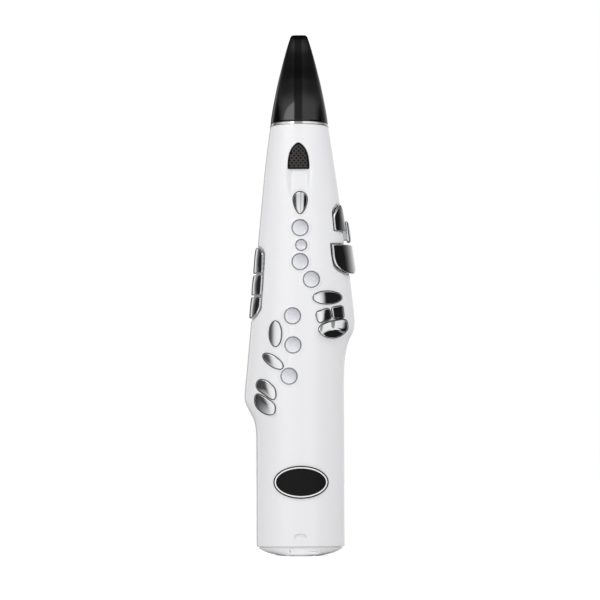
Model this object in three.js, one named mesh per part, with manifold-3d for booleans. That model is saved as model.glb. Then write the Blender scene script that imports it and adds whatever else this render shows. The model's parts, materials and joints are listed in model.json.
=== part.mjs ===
// A digital wind controller, held and fingered like a small saxophone. Two moulded shells carry the
// sprung keys, a beaked mouthpiece sits on a leaning neck, and a domed cap closes the lower end.
// Sizes are in millimetres. Z runs up the instrument, the main keys face -Y and the player is at +Y.
// The origin is the middle of the flat foot under the end cap.

import * as THREE from 'three';
import { mergeVertices } from 'three/addons/utils/BufferGeometryUtils.js';
import Module from 'manifold-3d';

const wasm = await Module();
wasm.setup();

// Driving dimensions of the body
const BODY_LENGTH = 421; // bottom rim to collar, along Z
const CAP_DEPTH = 9.5; // the end cap below the bottom rim
const TUBE_HALF_WIDTH = 44;
const TUBE_HALF_DEPTH = 40;
const WALL = 2.4;
const SEAM_BACK = 14; // the joint between the shells, behind the middle
const LEAN_START = 230; // where the body begins to lean back towards the player
const NECK_LEAN_DEGREES = 9.6;

// Clearances
const FIT_GAP = 0.3; // between pieces that seat on each other
const KEY_GAP = 0.4; // between a key and the edge of its hole
const OVERRUN = 12; // how far a cutter runs past what it cuts

const FRONT = -1;
const REAR = 1;
const NECK_Z = CAP_DEPTH + BODY_LENGTH;
const NECK_LEAN = THREE.MathUtils.degToRad(NECK_LEAN_DEGREES);
const LEAN_RADIUS = (NECK_Z - LEAN_START) / Math.sin(NECK_LEAN);

// The body's outline: each row is a share of its length and a share of the tube's half size
const leftShares = smoothCurve([
  [0, 1], [0.255, 0.997], [0.278, 1.007], [0.302, 1.054], [0.325, 1.166], [0.345, 1.25],
  [0.362, 1.264], [0.419, 1.207], [0.49, 1.145], [0.538, 1.102], [0.633, 1.017], [0.728, 0.936],
  [0.823, 0.85], [0.918, 0.758], [1, 0.652],
]);
const rightShares = smoothCurve([
  [0, 1], [0.3, 0.995], [0.38, 0.99], [0.42, 1], [0.443, 1.015], [0.467, 1.053], [0.49, 1.116],
  [0.512, 1.215], [0.533, 1.242], [0.562, 1.221], [0.609, 1.171], [0.728, 1.024], [0.823, 0.902],
  [0.918, 0.77], [1, 0.652],
]);
const frontShares = smoothCurve([
  [0, 1], [0.3, 1], [0.45, 0.98], [0.6, 0.93], [0.73, 0.86], [0.82, 0.79], [0.92, 0.71], [1, 0.655],
]);
const rearShares = smoothCurve([
  [0, 1], [0.3, 1], [0.5, 0.95], [0.7, 0.87], [0.85, 0.76], [1, 0.655],
]);
const stationShares = [
  0, 0.25, 0.283, 0.3, 0.318, 0.336, 0.356, 0.385, 0.43, 0.46, 0.478, 0.496, 0.515, 0.54, 0.57,
  0.62, 0.68, 0.76, 0.84, 0.92, 1,
];
const innerStationShares = [
  0, 0.26, 0.295, 0.32, 0.35, 0.4, 0.46, 0.485, 0.51, 0.54, 0.6, 0.7, 0.8, 0.9, 1,
];
const SECTION_POWER = 2.25;
const OUTER_SIDES = 34;
const INNER_SIDES = 16;

// Materials
const material = (color, roughness, metalness = 0, extra = {}) =>
  new THREE.MeshStandardMaterial({ color, roughness, metalness, ...extra });
const glossWhite = material(0xf1f1f3, 0.28);
const capWhite = material(0xe6e6e9, 0.35);
const pearl = material(0xe9e8f0, 0.18);
const chrome = material(0xd8d9dc, 0.07, 1);
const glossBlack = material(0x0b0b0c, 0.08);
const satinBlack = material(0x1b1a1a, 0.5);
const meshBlack = material(0x2e2a28, 0.55, 0.4);
const rubberBlack = material(0x161616, 0.8);
const boardGreen = material(0x1f5a38, 0.55);
const switchBlack = material(0x202124, 0.6);
const cellBlue = material(0x2a4f8f, 0.5);
const tubeClear = material(0xd9dcdf, 0.4);
const steel = material(0xb9bcc0, 0.3, 1);
const smokedGlass = material(0x101216, 0.05, 0, { transparent: true, opacity: 0.9 });

// Curves and outlines

// A smooth curve through rows of [at, value], level beyond its ends.
function smoothCurve(rows) {
  const last = rows.length - 1;
  const slopes = rows.map((row, i) => {
    const before = rows[Math.max(i - 1, 0)];
    const after = rows[Math.min(i + 1, last)];
    return (after[1] - before[1]) / (after[0] - before[0]);
  });
  return (at) => {
    if (at <= rows[0][0]) return rows[0][1];
    if (at >= rows[last][0]) return rows[last][1];
    const i = rows.findIndex((row) => row[0] > at) - 1;
    const span = rows[i + 1][0] - rows[i][0];
    const t = (at - rows[i][0]) / span;
    const rest = 1 - t;
    return (
      (1 + 2 * t) * rest * rest * rows[i][1] +
      t * rest * rest * span * slopes[i] +
      t * t * (3 - 2 * t) * rows[i + 1][1] -
      t * t * rest * span * slopes[i + 1]
    );
  };
}

// Outlines are lists of 2-D points: x runs across and y runs up.
function ellipse(halfWidth, halfHeight, count, tiltDegrees = 0) {
  const turn = THREE.MathUtils.degToRad(tiltDegrees);
  return Array.from({ length: count }, (_, i) => {
    const angle = (i / count) * Math.PI * 2;
    const point = new THREE.Vector2(Math.cos(angle) * halfWidth, Math.sin(angle) * halfHeight);
    return point.rotateAround(new THREE.Vector2(), turn);
  });
}

// A polygon given as shares of a width and height, with its corners rounded off.
function roundedOutline(cornerShares, width, height, radius, count) {
  const corners = cornerShares.map(([x, y]) => new THREE.Vector2(x * width, y * height));
  const path = new THREE.Path();
  corners.forEach((corner, i) => {
    const before = corners[(i + corners.length - 1) % corners.length];
    const after = corners[(i + 1) % corners.length];
    const cut = (to) => {
      const reach = Math.min(radius, corner.distanceTo(to) / 2);
      return to.clone().sub(corner).setLength(reach).add(corner);
    };
    const start = cut(before);
    const end = cut(after);
    if (i === 0) path.moveTo(start.x, start.y);
    else path.lineTo(start.x, start.y);
    path.quadraticCurveTo(corner.x, corner.y, end.x, end.y);
  });
  path.closePath();
  return path.getSpacedPoints(count).slice(0, count);
}

// A rectangle with rounded corners.
const CORNER_STEPS = 2;
function bar(width, height, radius) {
  const points = [];
  for (const [right, up, turn] of [[1, 1, 0], [-1, 1, 1], [-1, -1, 2], [1, -1, 3]]) {
    const x = right * (width / 2 - radius);
    const y = up * (height / 2 - radius);
    for (let step = 0; step <= CORNER_STEPS; step++) {
      const angle = (turn + step / CORNER_STEPS) * (Math.PI / 2);
      points.push(new THREE.Vector2(x + Math.cos(angle) * radius, y + Math.sin(angle) * radius));
    }
  }
  return points;
}

// The same outline moved outwards by a distance, or inwards where it is negative.
function widened(outline, distance) {
  const area = THREE.ShapeUtils.area(outline);
  return outline.map((point, i) => {
    const before = outline[(i + outline.length - 1) % outline.length];
    const after = outline[(i + 1) % outline.length];
    const along = after.clone().sub(before).normalize();
    const out = new THREE.Vector2(along.y, -along.x).multiplyScalar(Math.sign(area));
    return point.clone().addScaledVector(out, distance);
  });
}

const scaled = (outline, share) => outline.map((point) => point.clone().multiplyScalar(share));

// Solids

// A closed mesh made solid, turned to face outwards if its faces point in.
function solid(geometry) {
  const bare = geometry.clone();
  for (const name of Object.keys(bare.attributes)) {
    if (name !== 'position') bare.deleteAttribute(name);
  }
  const merged = mergeVertices(bare);
  const corners = merged.attributes.position.array;
  const triangles = Uint32Array.from(merged.index.array);
  const corner = (i) => new THREE.Vector3().fromArray(corners, triangles[i] * 3);
  let volume = 0;
  for (let i = 0; i < triangles.length; i += 3) {
    volume += corner(i).dot(corner(i + 1).cross(corner(i + 2)));
  }
  if (volume < 0) triangles.reverse();
  return new wasm.Manifold(
    new wasm.Mesh({ numProp: 3, vertProperties: corners, triVerts: triangles })
  );
}

// A solid skinned over rings of points. Its two ends are closed, unless the rings close on themselves.
function skinned(rings, closedLoop = false) {
  const count = rings[0].length;
  const points = rings.flat();
  const faces = [];
  const spans = closedLoop ? rings.length : rings.length - 1;
  for (let r = 0; r < spans; r++) {
    const from = r * count;
    const to = ((r + 1) % rings.length) * count;
    for (let i = 0; i < count; i++) {
      const next = (i + 1) % count;
      faces.push(from + i, from + next, to + next, from + i, to + next, to + i);
    }
  }
  if (!closedLoop) {
    const middle = (ring) => {
      const sum = ring.reduce((total, point) => total.add(point), new THREE.Vector3());
      return sum.divideScalar(count);
    };
    const bottom = points.push(middle(rings[0])) - 1;
    const top = points.push(middle(rings[rings.length - 1])) - 1;
    const lastRing = (rings.length - 1) * count;
    for (let i = 0; i < count; i++) {
      const next = (i + 1) % count;
      faces.push(bottom, next, i, top, lastRing + i, lastRing + next);
    }
  }
  const geometry = new THREE.BufferGeometry().setFromPoints(points);
  geometry.setIndex(faces);
  return solid(geometry);
}

// A straight rod between two points, tapered where it has a second radius.
function rod(radius, from, to, sides, endRadius = radius) {
  const along = to.clone().sub(from);
  const geometry = new THREE.CylinderGeometry(endRadius, radius, along.length(), sides);
  const turn = new THREE.Quaternion().setFromUnitVectors(
    new THREE.Vector3(0, 1, 0), along.clone().normalize()
  );
  geometry.applyQuaternion(turn);
  const middle = from.clone().add(to).divideScalar(2);
  return solid(geometry.translate(middle.x, middle.y, middle.z));
}

function block(low, high) {
  const size = high.clone().sub(low);
  const middle = low.clone().add(high).divideScalar(2);
  const geometry = new THREE.BoxGeometry(size.x, size.y, size.z);
  return solid(geometry.translate(middle.x, middle.y, middle.z));
}

const joined = (solids) => solids.reduce((whole, piece) => whole.add(piece));
const cutBy = (whole, cutters) => cutters.reduce((left, cutter) => left.subtract(cutter), whole);
const vector = (x, y, z) => new THREE.Vector3(x, y, z);
const between = (from, to, share) => from + (to - from) * share;

function piece(name, form, finish) {
  const made = form.getMesh();
  const geometry = new THREE.BufferGeometry();
  geometry.setAttribute('position', new THREE.BufferAttribute(made.vertProperties, 3));
  geometry.setIndex(new THREE.BufferAttribute(made.triVerts, 1));
  geometry.computeVertexNormals();
  const mesh = new THREE.Mesh(geometry, finish);
  mesh.name = name;
  return mesh;
}

// The body's surface

// The cross-section at a height up the spine, grown outwards by a distance.
function sectionAt(z, grow = 0) {
  const share = (z - CAP_DEPTH) / BODY_LENGTH;
  const lean = Math.asin(Math.max(z - LEAN_START, 0) / LEAN_RADIUS);
  return {
    left: leftShares(share) * TUBE_HALF_WIDTH + grow,
    right: rightShares(share) * TUBE_HALF_WIDTH + grow,
    front: frontShares(share) * TUBE_HALF_DEPTH + grow,
    rear: rearShares(share) * TUBE_HALF_DEPTH + grow,
    lean,
    centre: vector(0, LEAN_RADIUS * (1 - Math.cos(lean)), z),
    back: vector(0, Math.cos(lean), -Math.sin(lean)),
  };
}

// A point on the surface. The angle is 0 at the front and grows towards +X.
function bodyPoint(z, angle, grow = 0) {
  const section = sectionAt(z, grow);
  const bent = (value) => Math.sign(value) * Math.abs(value) ** (2 / SECTION_POWER);
  const across = bent(Math.sin(angle));
  const ahead = bent(Math.cos(angle));
  const x = across * (across < 0 ? section.left : section.right);
  const depth = -ahead * (ahead > 0 ? section.front : section.rear);
  return section.centre.clone().addScaledVector(section.back, depth).setX(x);
}

// The surface's Y over a point of the front or rear view.
const SOLVE_STEPS = 6;
const EDGE_REACH_SHARE = 0.985;
function surfaceY(side, x, z, grow = 0) {
  let along = z;
  let y = 0;
  for (let step = 0; step < SOLVE_STEPS; step++) {
    const section = sectionAt(along, grow);
    const reach = x < 0 ? section.left : section.right;
    const half = side === FRONT ? section.front : section.rear;
    const ratio = Math.min(Math.abs(x) / reach, EDGE_REACH_SHARE);
    const depth = side * half * (1 - ratio ** SECTION_POWER) ** (1 / SECTION_POWER);
    along = z + depth * Math.sin(section.lean);
    y = section.centre.y + depth * Math.cos(section.lean);
  }
  return y;
}

const heightAt = (share) => CAP_DEPTH + share * BODY_LENGTH;
const placeAt = ([xShare, zShare]) => ({ x: xShare * TUBE_HALF_WIDTH, z: heightAt(zShare) });

function bodyRing(z, sides, grow) {
  return Array.from({ length: sides }, (_, i) => bodyPoint(z, (i / sides) * Math.PI * 2, grow));
}

// The points of an outline in the front or rear view, each at the Y that a function gives.
function standing(place, outline, yAt) {
  return outline.map((point) => {
    const x = place.x + point.x;
    const z = place.z + point.y;
    return vector(x, yAt(x, z), z);
  });
}

// A straight prism along Y through an outline.
function prism(place, outline, fromY, toY) {
  return skinned([
    standing(place, outline, () => fromY),
    standing(place, outline, () => toY),
  ]);
}

// Boards and switches inside

const board = { frontY: -11, rearY: 12, thickness: 1.6 };
const dome = { radius: 3.6, topRadius: 2.2, height: 2.6, sides: 6 };
const post = { radius: 2, sides: 6, reach: 2 }; // reach: from a key's post to its dome, at rest

// The rubber dome of a switch on a board, under the middle of a key.
function switchDome(side, place) {
  const boardY = side === FRONT ? board.frontY : board.rearY + board.thickness;
  const at = (height) => vector(place.x, boardY + side * height, place.z);
  return rod(dome.radius, at(-board.thickness / 2), at(dome.height), dome.sides, dome.topRadius);
}

// Where a key's post ends, over its dome.
function postFoot(side, place) {
  const boardY = side === FRONT ? board.frontY : board.rearY + board.thickness;
  return vector(place.x, boardY + side * (dome.height + post.reach), place.z);
}

// Keys that are pressed straight into the front or the rear

const flange = { width: 1.2, closeWidth: 0.5, thickness: 1.2, wallGap: 1 };
const capEdge = { innerShare: 0.55 };

// The cap of a key: a flared foot inside the wall, a skirt through the hole, and a rounded top.
function pressedKey(side, place, outline, form) {
  const topY = (x, z) => {
    return surfaceY(side, x, z) + side * form.rise;
  };
  const inside = WALL + flange.wallGap;
  const flangeOuterY = (x, z) => surfaceY(side, x, z, -inside);
  const flangeInnerY = (x, z) => surfaceY(side, x, z, -inside - flange.thickness);
  const wide = widened(outline, form.close ? flange.closeWidth : flange.width);
  const cap = skinned([
    standing(place, wide, flangeInnerY),
    standing(place, outline, flangeOuterY),
    standing(place, outline, (x, z) => topY(x, z) - side * form.edge),
    standing(place, widened(outline, -form.edge), topY),
    standing(place, scaled(outline, capEdge.innerShare), (x, z) => topY(x, z) + side * form.crown),
  ]);
  const postTop = vector(place.x, topY(place.x, place.z) - side * WALL, place.z);
  return cap.add(rod(post.radius, postFoot(side, place), postTop, post.sides));
}

// The hole that such a key passes through.
function keyHole(side, place, outline) {
  const wide = widened(outline, KEY_GAP);
  const deepest = wide.map((point) => surfaceY(side, place.x + point.x, place.z + point.y, -WALL));
  const innerY = (side === FRONT ? Math.max(...deepest) : Math.min(...deepest)) - side * WALL;
  const outerY = surfaceY(side, place.x, place.z) + side * OVERRUN;
  return prism(place, wide, outerY, innerY);
}

// Round keys, each in a thin metal bezel let into the shell

const ROUND_SIDES = 14;
const ROUND_RISE = 1.4;
const ROUND_EDGE = 0.5;
const ROUND_DISH = -0.5;
const bezel = { width: 0.8, depth: 1.2, proud: 0.6 };
const MAIN_RADIUS = 7.5;
const BIS_RADIUS = 5;
const KEYED_LENGTH = 421; // the body length for which the front keys' own sizes are given
const keyScale = BODY_LENGTH / KEYED_LENGTH;
const roundKeys = [
  { name: 'key_b', placeShares: [0.013, 0.757], radius: MAIN_RADIUS },
  { name: 'key_bis', placeShares: [0.037, 0.716], radius: BIS_RADIUS },
  { name: 'key_a', placeShares: [0.011, 0.6765], radius: MAIN_RADIUS },
  { name: 'key_g', placeShares: [0.265, 0.6344], radius: MAIN_RADIUS },
  { name: 'key_f', placeShares: [-0.167, 0.548], radius: MAIN_RADIUS },
  { name: 'key_e', placeShares: [-0.158, 0.479], radius: MAIN_RADIUS },
  { name: 'key_d', placeShares: [-0.249, 0.405], radius: MAIN_RADIUS },
].map((key) => {
  const radius = key.radius * keyScale;
  return {
    ...key,
    radius,
    place: placeAt(key.placeShares),
    outline: ellipse(radius, radius, ROUND_SIDES),
  };
});
const bezelOutline = (key, extra = 0) => {
  const radius = key.radius + FIT_GAP + bezel.width + extra;
  return ellipse(radius, radius, ROUND_SIDES);
};
const overFront = (key, outline, height) =>
  standing(key.place, outline, (x, z) => surfaceY(FRONT, x, z) - height);

function roundHole(key) {
  const counterbore = skinned([
    overFront(key, bezelOutline(key, FIT_GAP), OVERRUN),
    overFront(key, bezelOutline(key, FIT_GAP), -bezel.depth),
  ]);
  return keyHole(FRONT, key.place, key.outline).add(counterbore);
}

function roundBezel(key) {
  const hole = bezelOutline(key, -bezel.width);
  const edge = bezelOutline(key);
  const top = bezel.proud;
  const foot = FIT_GAP - bezel.depth;
  return skinned(
    [
      overFront(key, hole, top), overFront(key, edge, top),
      overFront(key, edge, foot), overFront(key, hole, foot),
    ],
    true
  );
}

// Metal keys on the front, drawn in the front view

const METAL_SIDES = 12;
const METAL_RISE = 2.4;
const METAL_EDGE = 0.9;
const METAL_CROWN = 0.5;
const roundForm = { rise: ROUND_RISE, edge: ROUND_EDGE, crown: ROUND_DISH };
const metalForm = { rise: METAL_RISE, edge: METAL_EDGE, crown: METAL_CROWN };
const tableForm = { ...metalForm, close: true }; // keys of one group, side by side
const frontF = { width: 14.3, height: 21.8, radius: 3.5 };
const gSharp = { halfWidth: 14.2, halfHeight: 6.3 };
const lowCSharp = { width: 16.4, height: 15.7, radius: 4 };
const lowB = { width: 12.8, height: 13.4, radius: 3 };
const lowBFlat = { width: 29.3, height: 18.9, radius: 3 };
const sideFSharp = { halfWidth: 6.1, halfHeight: 12.5 };
const trill = { halfWidth: 11.6, halfHeight: 5, tiltDegrees: -34 };
const eFlat = { width: 19.8, height: 20, radius: 3 };
const lowC = { width: 20.4, height: 20.5, radius: 3 };

const frontFShares = [
  [-0.28, 0.47], [0, 0.52], [0.28, 0.47], [0.5, 0.27], [0.46, -0.02], [0.3, -0.32], [0, -0.54],
  [-0.3, -0.32], [-0.46, -0.02], [-0.5, 0.27],
];
const lowCSharpShares = [[-0.5, 0.2], [0.34, 0.5], [0.5, -0.2], [-0.3, -0.5]];
const lowBShares = [[-0.5, 0.36], [0.38, 0.5], [0.48, -0.42], [-0.36, -0.48]];
const lowBFlatShares = [
  [-0.51, -0.03], [-0.42, 0.2], [-0.12, 0.38], [0.34, 0.5], [0.47, 0.4], [0.5, 0], [0.44, -0.14],
  [0.26, -0.4], [0.01, -0.51], [-0.27, -0.44], [-0.44, -0.25],
];
const eFlatShares = [
  [-0.52, 0.17], [-0.45, 0.4], [-0.29, 0.5], [-0.02, 0.44], [0.24, 0.25], [0.45, 0.03],
  [0.49, -0.38], [0.36, -0.53], [0.18, -0.46], [-0.42, -0.03],
];
const lowCShares = [
  [-0.5, 0.32], [-0.44, 0.48], [-0.3, 0.5], [-0.08, 0.38], [0.38, 0.09], [0.5, -0.06],
  [0.49, -0.38], [0.36, -0.5], [0.14, -0.51], [-0.14, -0.4], [-0.39, -0.18], [-0.5, 0.06],
];

const outlineOf = (shares, size) =>
  roundedOutline(
    shares, size.width * keyScale, size.height * keyScale, size.radius * keyScale, METAL_SIDES
  );
const ovalOf = (size) =>
  ellipse(
    size.halfWidth * keyScale, size.halfHeight * keyScale, METAL_SIDES, size.tiltDegrees
  );
const metalKeys = [
  { name: 'key_front_f', placeShares: [0.015, 0.816], outline: outlineOf(frontFShares, frontF) },
  { name: 'key_g_sharp', placeShares: [0.629, 0.5912], outline: ovalOf(gSharp) },
  {
    name: 'key_low_c_sharp',
    form: tableForm,
    placeShares: [0.539, 0.5485],
    outline: outlineOf(lowCSharpShares, lowCSharp),
  },
  {
    name: 'key_low_b',
    form: tableForm,
    placeShares: [0.865, 0.5561],
    outline: outlineOf(lowBShares, lowB),
  },
  {
    name: 'key_low_b_flat',
    form: tableForm,
    placeShares: [0.759, 0.5178],
    outline: outlineOf(lowBFlatShares, lowBFlat),
  },
  { name: 'key_side_f_sharp', placeShares: [-0.557, 0.5057], outline: ovalOf(sideFSharp) },
  { name: 'key_trill', placeShares: [-0.613, 0.4406], outline: ovalOf(trill) },
  {
    name: 'key_e_flat',
    form: tableForm,
    placeShares: [-0.768, 0.3741],
    outline: outlineOf(eFlatShares, eFlat),
  },
  {
    name: 'key_low_c',
    form: tableForm,
    placeShares: [-0.799, 0.3385],
    outline: outlineOf(lowCShares, lowC),
  },
].map((key) => ({ form: metalForm, ...key, place: placeAt(key.placeShares) }));

// Octave keys, above and below the thumb rest on the player's side

const octave = { width: 24, height: 11, radius: 3, spread: 21 };
const REST_SIDES = 16;
const thumbRest = { halfWidth: 11, halfHeight: 13, thickness: 2.4, edge: 1, zShare: 0.69 };
const barShares = [[-0.5, 0.5], [0.5, 0.5], [0.5, -0.5], [-0.5, -0.5]];
const restPlace = placeAt([0, thumbRest.zShare]);
const octaveKeys = [
  { name: 'octave_key_upper', place: { x: 0, z: restPlace.z + octave.spread } },
  { name: 'octave_key_lower', place: { x: 0, z: restPlace.z - octave.spread } },
].map((key) => ({ ...key, outline: bar(octave.width, octave.height, octave.radius) }));

// Palm and side keys: paddles that wrap round the flanks on sprung posts

const paddle = { thickness: 2.6, edge: 0.8, crown: 0.4, radius: 2.2, sides: 12, carrierShare: 0.8 };
const wrapPost = { radius: 2.4, sides: 6, depth: 8 };
const guide = { radius: 4.6, depth: 9, sides: 6 };
const pod = { radius: 4.6, height: 4, well: 2.4, stripWidth: 1.8 };
const pocket = { depth: 3, backingDegrees: 4, backingMargin: 2.5 }; // the keys' hollow in each flank
const POCKET_STEPS = 5;

const palm1Shares = [
  [-0.5, -0.5], [-0.5, -0.05], [-0.44, 0.14], [-0.22, 0.35], [0.12, 0.53], [0.26, 0.4], [0.4, 0],
  [0.5, -0.5],
];
const palm3Shares = [
  [-0.5, 0.5], [-0.5, 0.1], [-0.42, -0.14], [-0.2, -0.36], [0.12, -0.5], [0.36, -0.49],
  [0.5, -0.34], [0.48, 0], [0.44, 0.5],
];
const side1Shares = [[-0.52, 0.4], [-0.1, 0.5], [0.2, 0.44], [0.44, 0.25], [0.5, -0.5], [-0.5, -0.5]];
const side3Shares = [[-0.5, 0.5], [0.5, 0.5], [0.5, 0.02], [0.38, -0.26], [0.08, -0.43], [-0.5, -0.5]];

// Each row has the height and width of a key, and how far its rim stands off the body at its two ends.
const wrapKeys = [
  {
    name: 'palm_key_d', zShare: 0.7766, heightShare: 0.061, spanDegrees: [50, 76.5],
    outlineShares: palm1Shares, riseFrom: 1.8, riseTo: 2.4,
  },
  {
    name: 'palm_key_e_flat', zShare: 0.7463, heightShare: 0.0489, spanDegrees: [80, 104],
    outlineShares: barShares, riseFrom: 6, riseTo: 6.4, carrierFloor: -0.8,
  },
  {
    name: 'palm_key_f', zShare: 0.6803, heightShare: 0.067, spanDegrees: [41.5, 90],
    outlineShares: palm3Shares, riseFrom: 1.8, riseTo: 7.2,
  },
  {
    name: 'side_key_high_e', zShare: 0.6786, heightShare: 0.0608, spanDegrees: [-96, -53.5],
    outlineShares: side1Shares, riseFrom: 2.4, riseTo: 1.8,
  },
  {
    name: 'side_key_c', zShare: 0.62, heightShare: 0.0463, spanDegrees: [-96, -53.5],
    outlineShares: barShares, riseFrom: 2.4, riseTo: 1.8,
  },
  {
    name: 'side_key_b_flat', zShare: 0.5665, heightShare: 0.0501, spanDegrees: [-96, -53.5],
    outlineShares: side3Shares, riseFrom: 2.4, riseTo: 1.8,
  },
].map((key) => {
  const z = heightAt(key.zShare);
  const [from, to] = key.spanDegrees.map(THREE.MathUtils.degToRad);
  const foot = bodyPoint(z, (from + to) / 2);
  const along = bodyPoint(z, to).sub(bodyPoint(z, from));
  const outward = along.cross(vector(0, 0, 1)).normalize();
  const middleRise = (key.riseFrom + key.riseTo) / 2;
  return { ...key, z, height: key.heightShare * BODY_LENGTH, from, to, foot, outward, middleRise };
});

function wrapKeyForm(key) {
  const span = key.to - key.from;
  const middle = (key.from + key.to) / 2;
  const arc = bodyPoint(key.z, key.from).distanceTo(bodyPoint(key.z, key.to));
  const outline = roundedOutline(
    key.outlineShares, arc, key.height, paddle.radius, paddle.sides
  );
  const rim = (x) => between(key.riseFrom, key.riseTo, x / arc + 1 / 2);
  const over = (points, heightOf) =>
    points.map((point) =>
      bodyPoint(key.z + point.y, middle + (point.x / arc) * span, heightOf(point.x))
    );
  const core = scaled(outline, capEdge.innerShare);
  const floor = (x) => rim(x) - paddle.thickness;
  const cap = skinned([
    over(core, floor),
    over(outline, floor),
    over(outline, (x) => rim(x) - paddle.edge),
    over(widened(outline, -paddle.edge), rim),
    over(core, (x) => rim(x) + paddle.crown),
  ]);
  const root = under(key, paddle.thickness / 2 - key.middleRise);
  const whole = cap.add(rod(wrapPost.radius, under(key, wrapPost.depth), root, wrapPost.sides));
  if (key.carrierFloor === undefined) return whole;
  const carrier = scaled(outline, paddle.carrierShare);
  return whole.add(skinned([
    over(carrier, () => key.carrierFloor),
    over(carrier, (x) => floor(x) + paddle.edge),
  ]));
}

// A point on the line of a paddle's travel, at a depth under the body's surface.
const under = (key, depth) => key.foot.clone().addScaledVector(key.outward, -depth);

const wrapGuide = (key) =>
  rod(guide.radius, under(key, guide.depth), under(key, 0), guide.sides);
const wrapBore = (key) =>
  rod(
    wrapPost.radius + KEY_GAP, under(key, guide.depth + OVERRUN), under(key, -OVERRUN),
    wrapPost.sides
  );

// The hollows that these keys sit in. Each row is a share of the body's length and a span in degrees.
const sidePocketShares = [
  [0.535, -98, -74], [0.545, -98, -61], [0.5625, -98, -51.5], [0.694, -98, -51.5],
  [0.704, -98, -57], [0.713, -98, -72],
];
const palmPocketShares = [
  [0.642, 72, 92], [0.651, 57, 96], [0.667, 43, 106], [0.69, 39, 106], [0.7165, 39, 106],
  [0.719, 77, 106], [0.742, 77, 106], [0.7445, 48, 106], [0.789, 48.5, 106], [0.799, 52, 106],
  [0.811, 64, 84],
];
function flankBand(rows, outerGrow, innerGrow, widenDegrees, margin) {
  const arc = (z, from, to, grow) =>
    Array.from({ length: POCKET_STEPS + 1 }, (_, i) => {
      const degrees = between(from - widenDegrees, to + widenDegrees, i / POCKET_STEPS);
      return bodyPoint(z, THREE.MathUtils.degToRad(degrees), grow);
    });
  return skinned(rows.map(([share, from, to], i) => {
    const past = { 0: -margin, [rows.length - 1]: margin }[i] ?? 0;
    const z = heightAt(share) + past;
    return [...arc(z, from, to, outerGrow), ...arc(z, from, to, innerGrow).reverse()];
  }));
}
const flankPocket = (rows) => flankBand(rows, OVERRUN, -pocket.depth, 0, 0);
const pocketBacking = (rows) =>
  flankBand(rows, 0, -pocket.depth - WALL, pocket.backingDegrees, pocket.backingMargin);

// A strip of cups, one seated under each guide of a flank, with a switch at its floor
function flankSwitches(keys) {
  const start = guide.depth + FIT_GAP;
  const floor = start + pod.well;
  const end = start + pod.height;
  const cups = keys.map((key) => rod(pod.radius, under(key, end), under(key, start), guide.sides));
  const wells = keys.map((key) =>
    rod(wrapPost.radius + KEY_GAP, under(key, floor), under(key, start - OVERRUN), wrapPost.sides)
  );
  const level = (floor + end) / 2;
  const half = (end - floor) / 2;
  const ring = (key) => {
    const at = under(key, level);
    return ellipse(half, pod.stripWidth, guide.sides).map((point) =>
      vector(at.x + point.x, at.y + point.y, at.z)
    );
  };
  const strips = keys.slice(1).map((key, i) => skinned([ring(key), ring(keys[i])]));
  return cutBy(joined([...cups, ...strips]), wells);
}
const palmKeys = wrapKeys.filter((key) => key.from > 0);
const sideKeys = wrapKeys.filter((key) => key.from < 0);

// The breath outlet: an arched grille in a sloping recess, with a scoop running out below it

const grille = {
  width: 21.5, height: 26, zShare: 0.9276, lipDepth: 0.8, depth: 4, thickness: 1.2, ledge: 1.3,
  holeRadius: 0.8, holePitch: 3.6, holeSides: 5, sides: 12,
};
const scoop = { width: 29, footWidth: 18.4, floorWidth: 19.5, length: 24 };
const backing = { margin: 5, depth: 8.4, footRise: 4.5 };
const archShares = [
  [-0.5, -0.46], [-0.46, -0.5], [0.46, -0.5], [0.5, -0.46], [0.5, -0.1], [0.46, 0.09], [0.37, 0.25],
  [0.23, 0.39], [0, 0.52], [-0.23, 0.39], [-0.37, 0.25], [-0.46, 0.09], [-0.5, -0.1],
];
const grillePlace = placeAt([-0.02, grille.zShare]);
const grilleOutline = archShares.map(
  ([x, y]) => new THREE.Vector2(x * grille.width, y * grille.height)
);
const grilleTop = grillePlace.z + grille.height / 2;
const grilleFoot = grillePlace.z - grille.height / 2;
const scoopFoot = grilleFoot - scoop.length;
const spineFrontY = (z) => surfaceY(FRONT, 0, z);

// The recess slopes in to its deepest line, at the grille's foot, and out again down the scoop.
function recessY(x, z) {
  const share = (z - grilleFoot) / grille.height;
  return between(
    spineFrontY(grilleFoot) + grille.depth, spineFrontY(grilleTop) + grille.lipDepth, share
  );
}
function scoopY(x, z) {
  const share = (z - scoopFoot) / scoop.length;
  return between(spineFrontY(scoopFoot), spineFrontY(grilleFoot) + grille.depth, share);
}
const outsideY = (x, z) => spineFrontY(z) - OVERRUN;

function grilleBacking() {
  const low = scoopFoot + backing.footRise;
  const high = grilleTop + backing.margin;
  const middle = { x: grillePlace.x, z: (low + high) / 2 };
  const width = scoop.width + backing.margin;
  const outline = bar(width, high - low, backing.margin);
  return skinned([
    standing(middle, outline, (x, z) => spineFrontY(z)),
    standing(middle, outline, (x, z) => spineFrontY(z) + backing.depth),
  ]);
}

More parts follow.
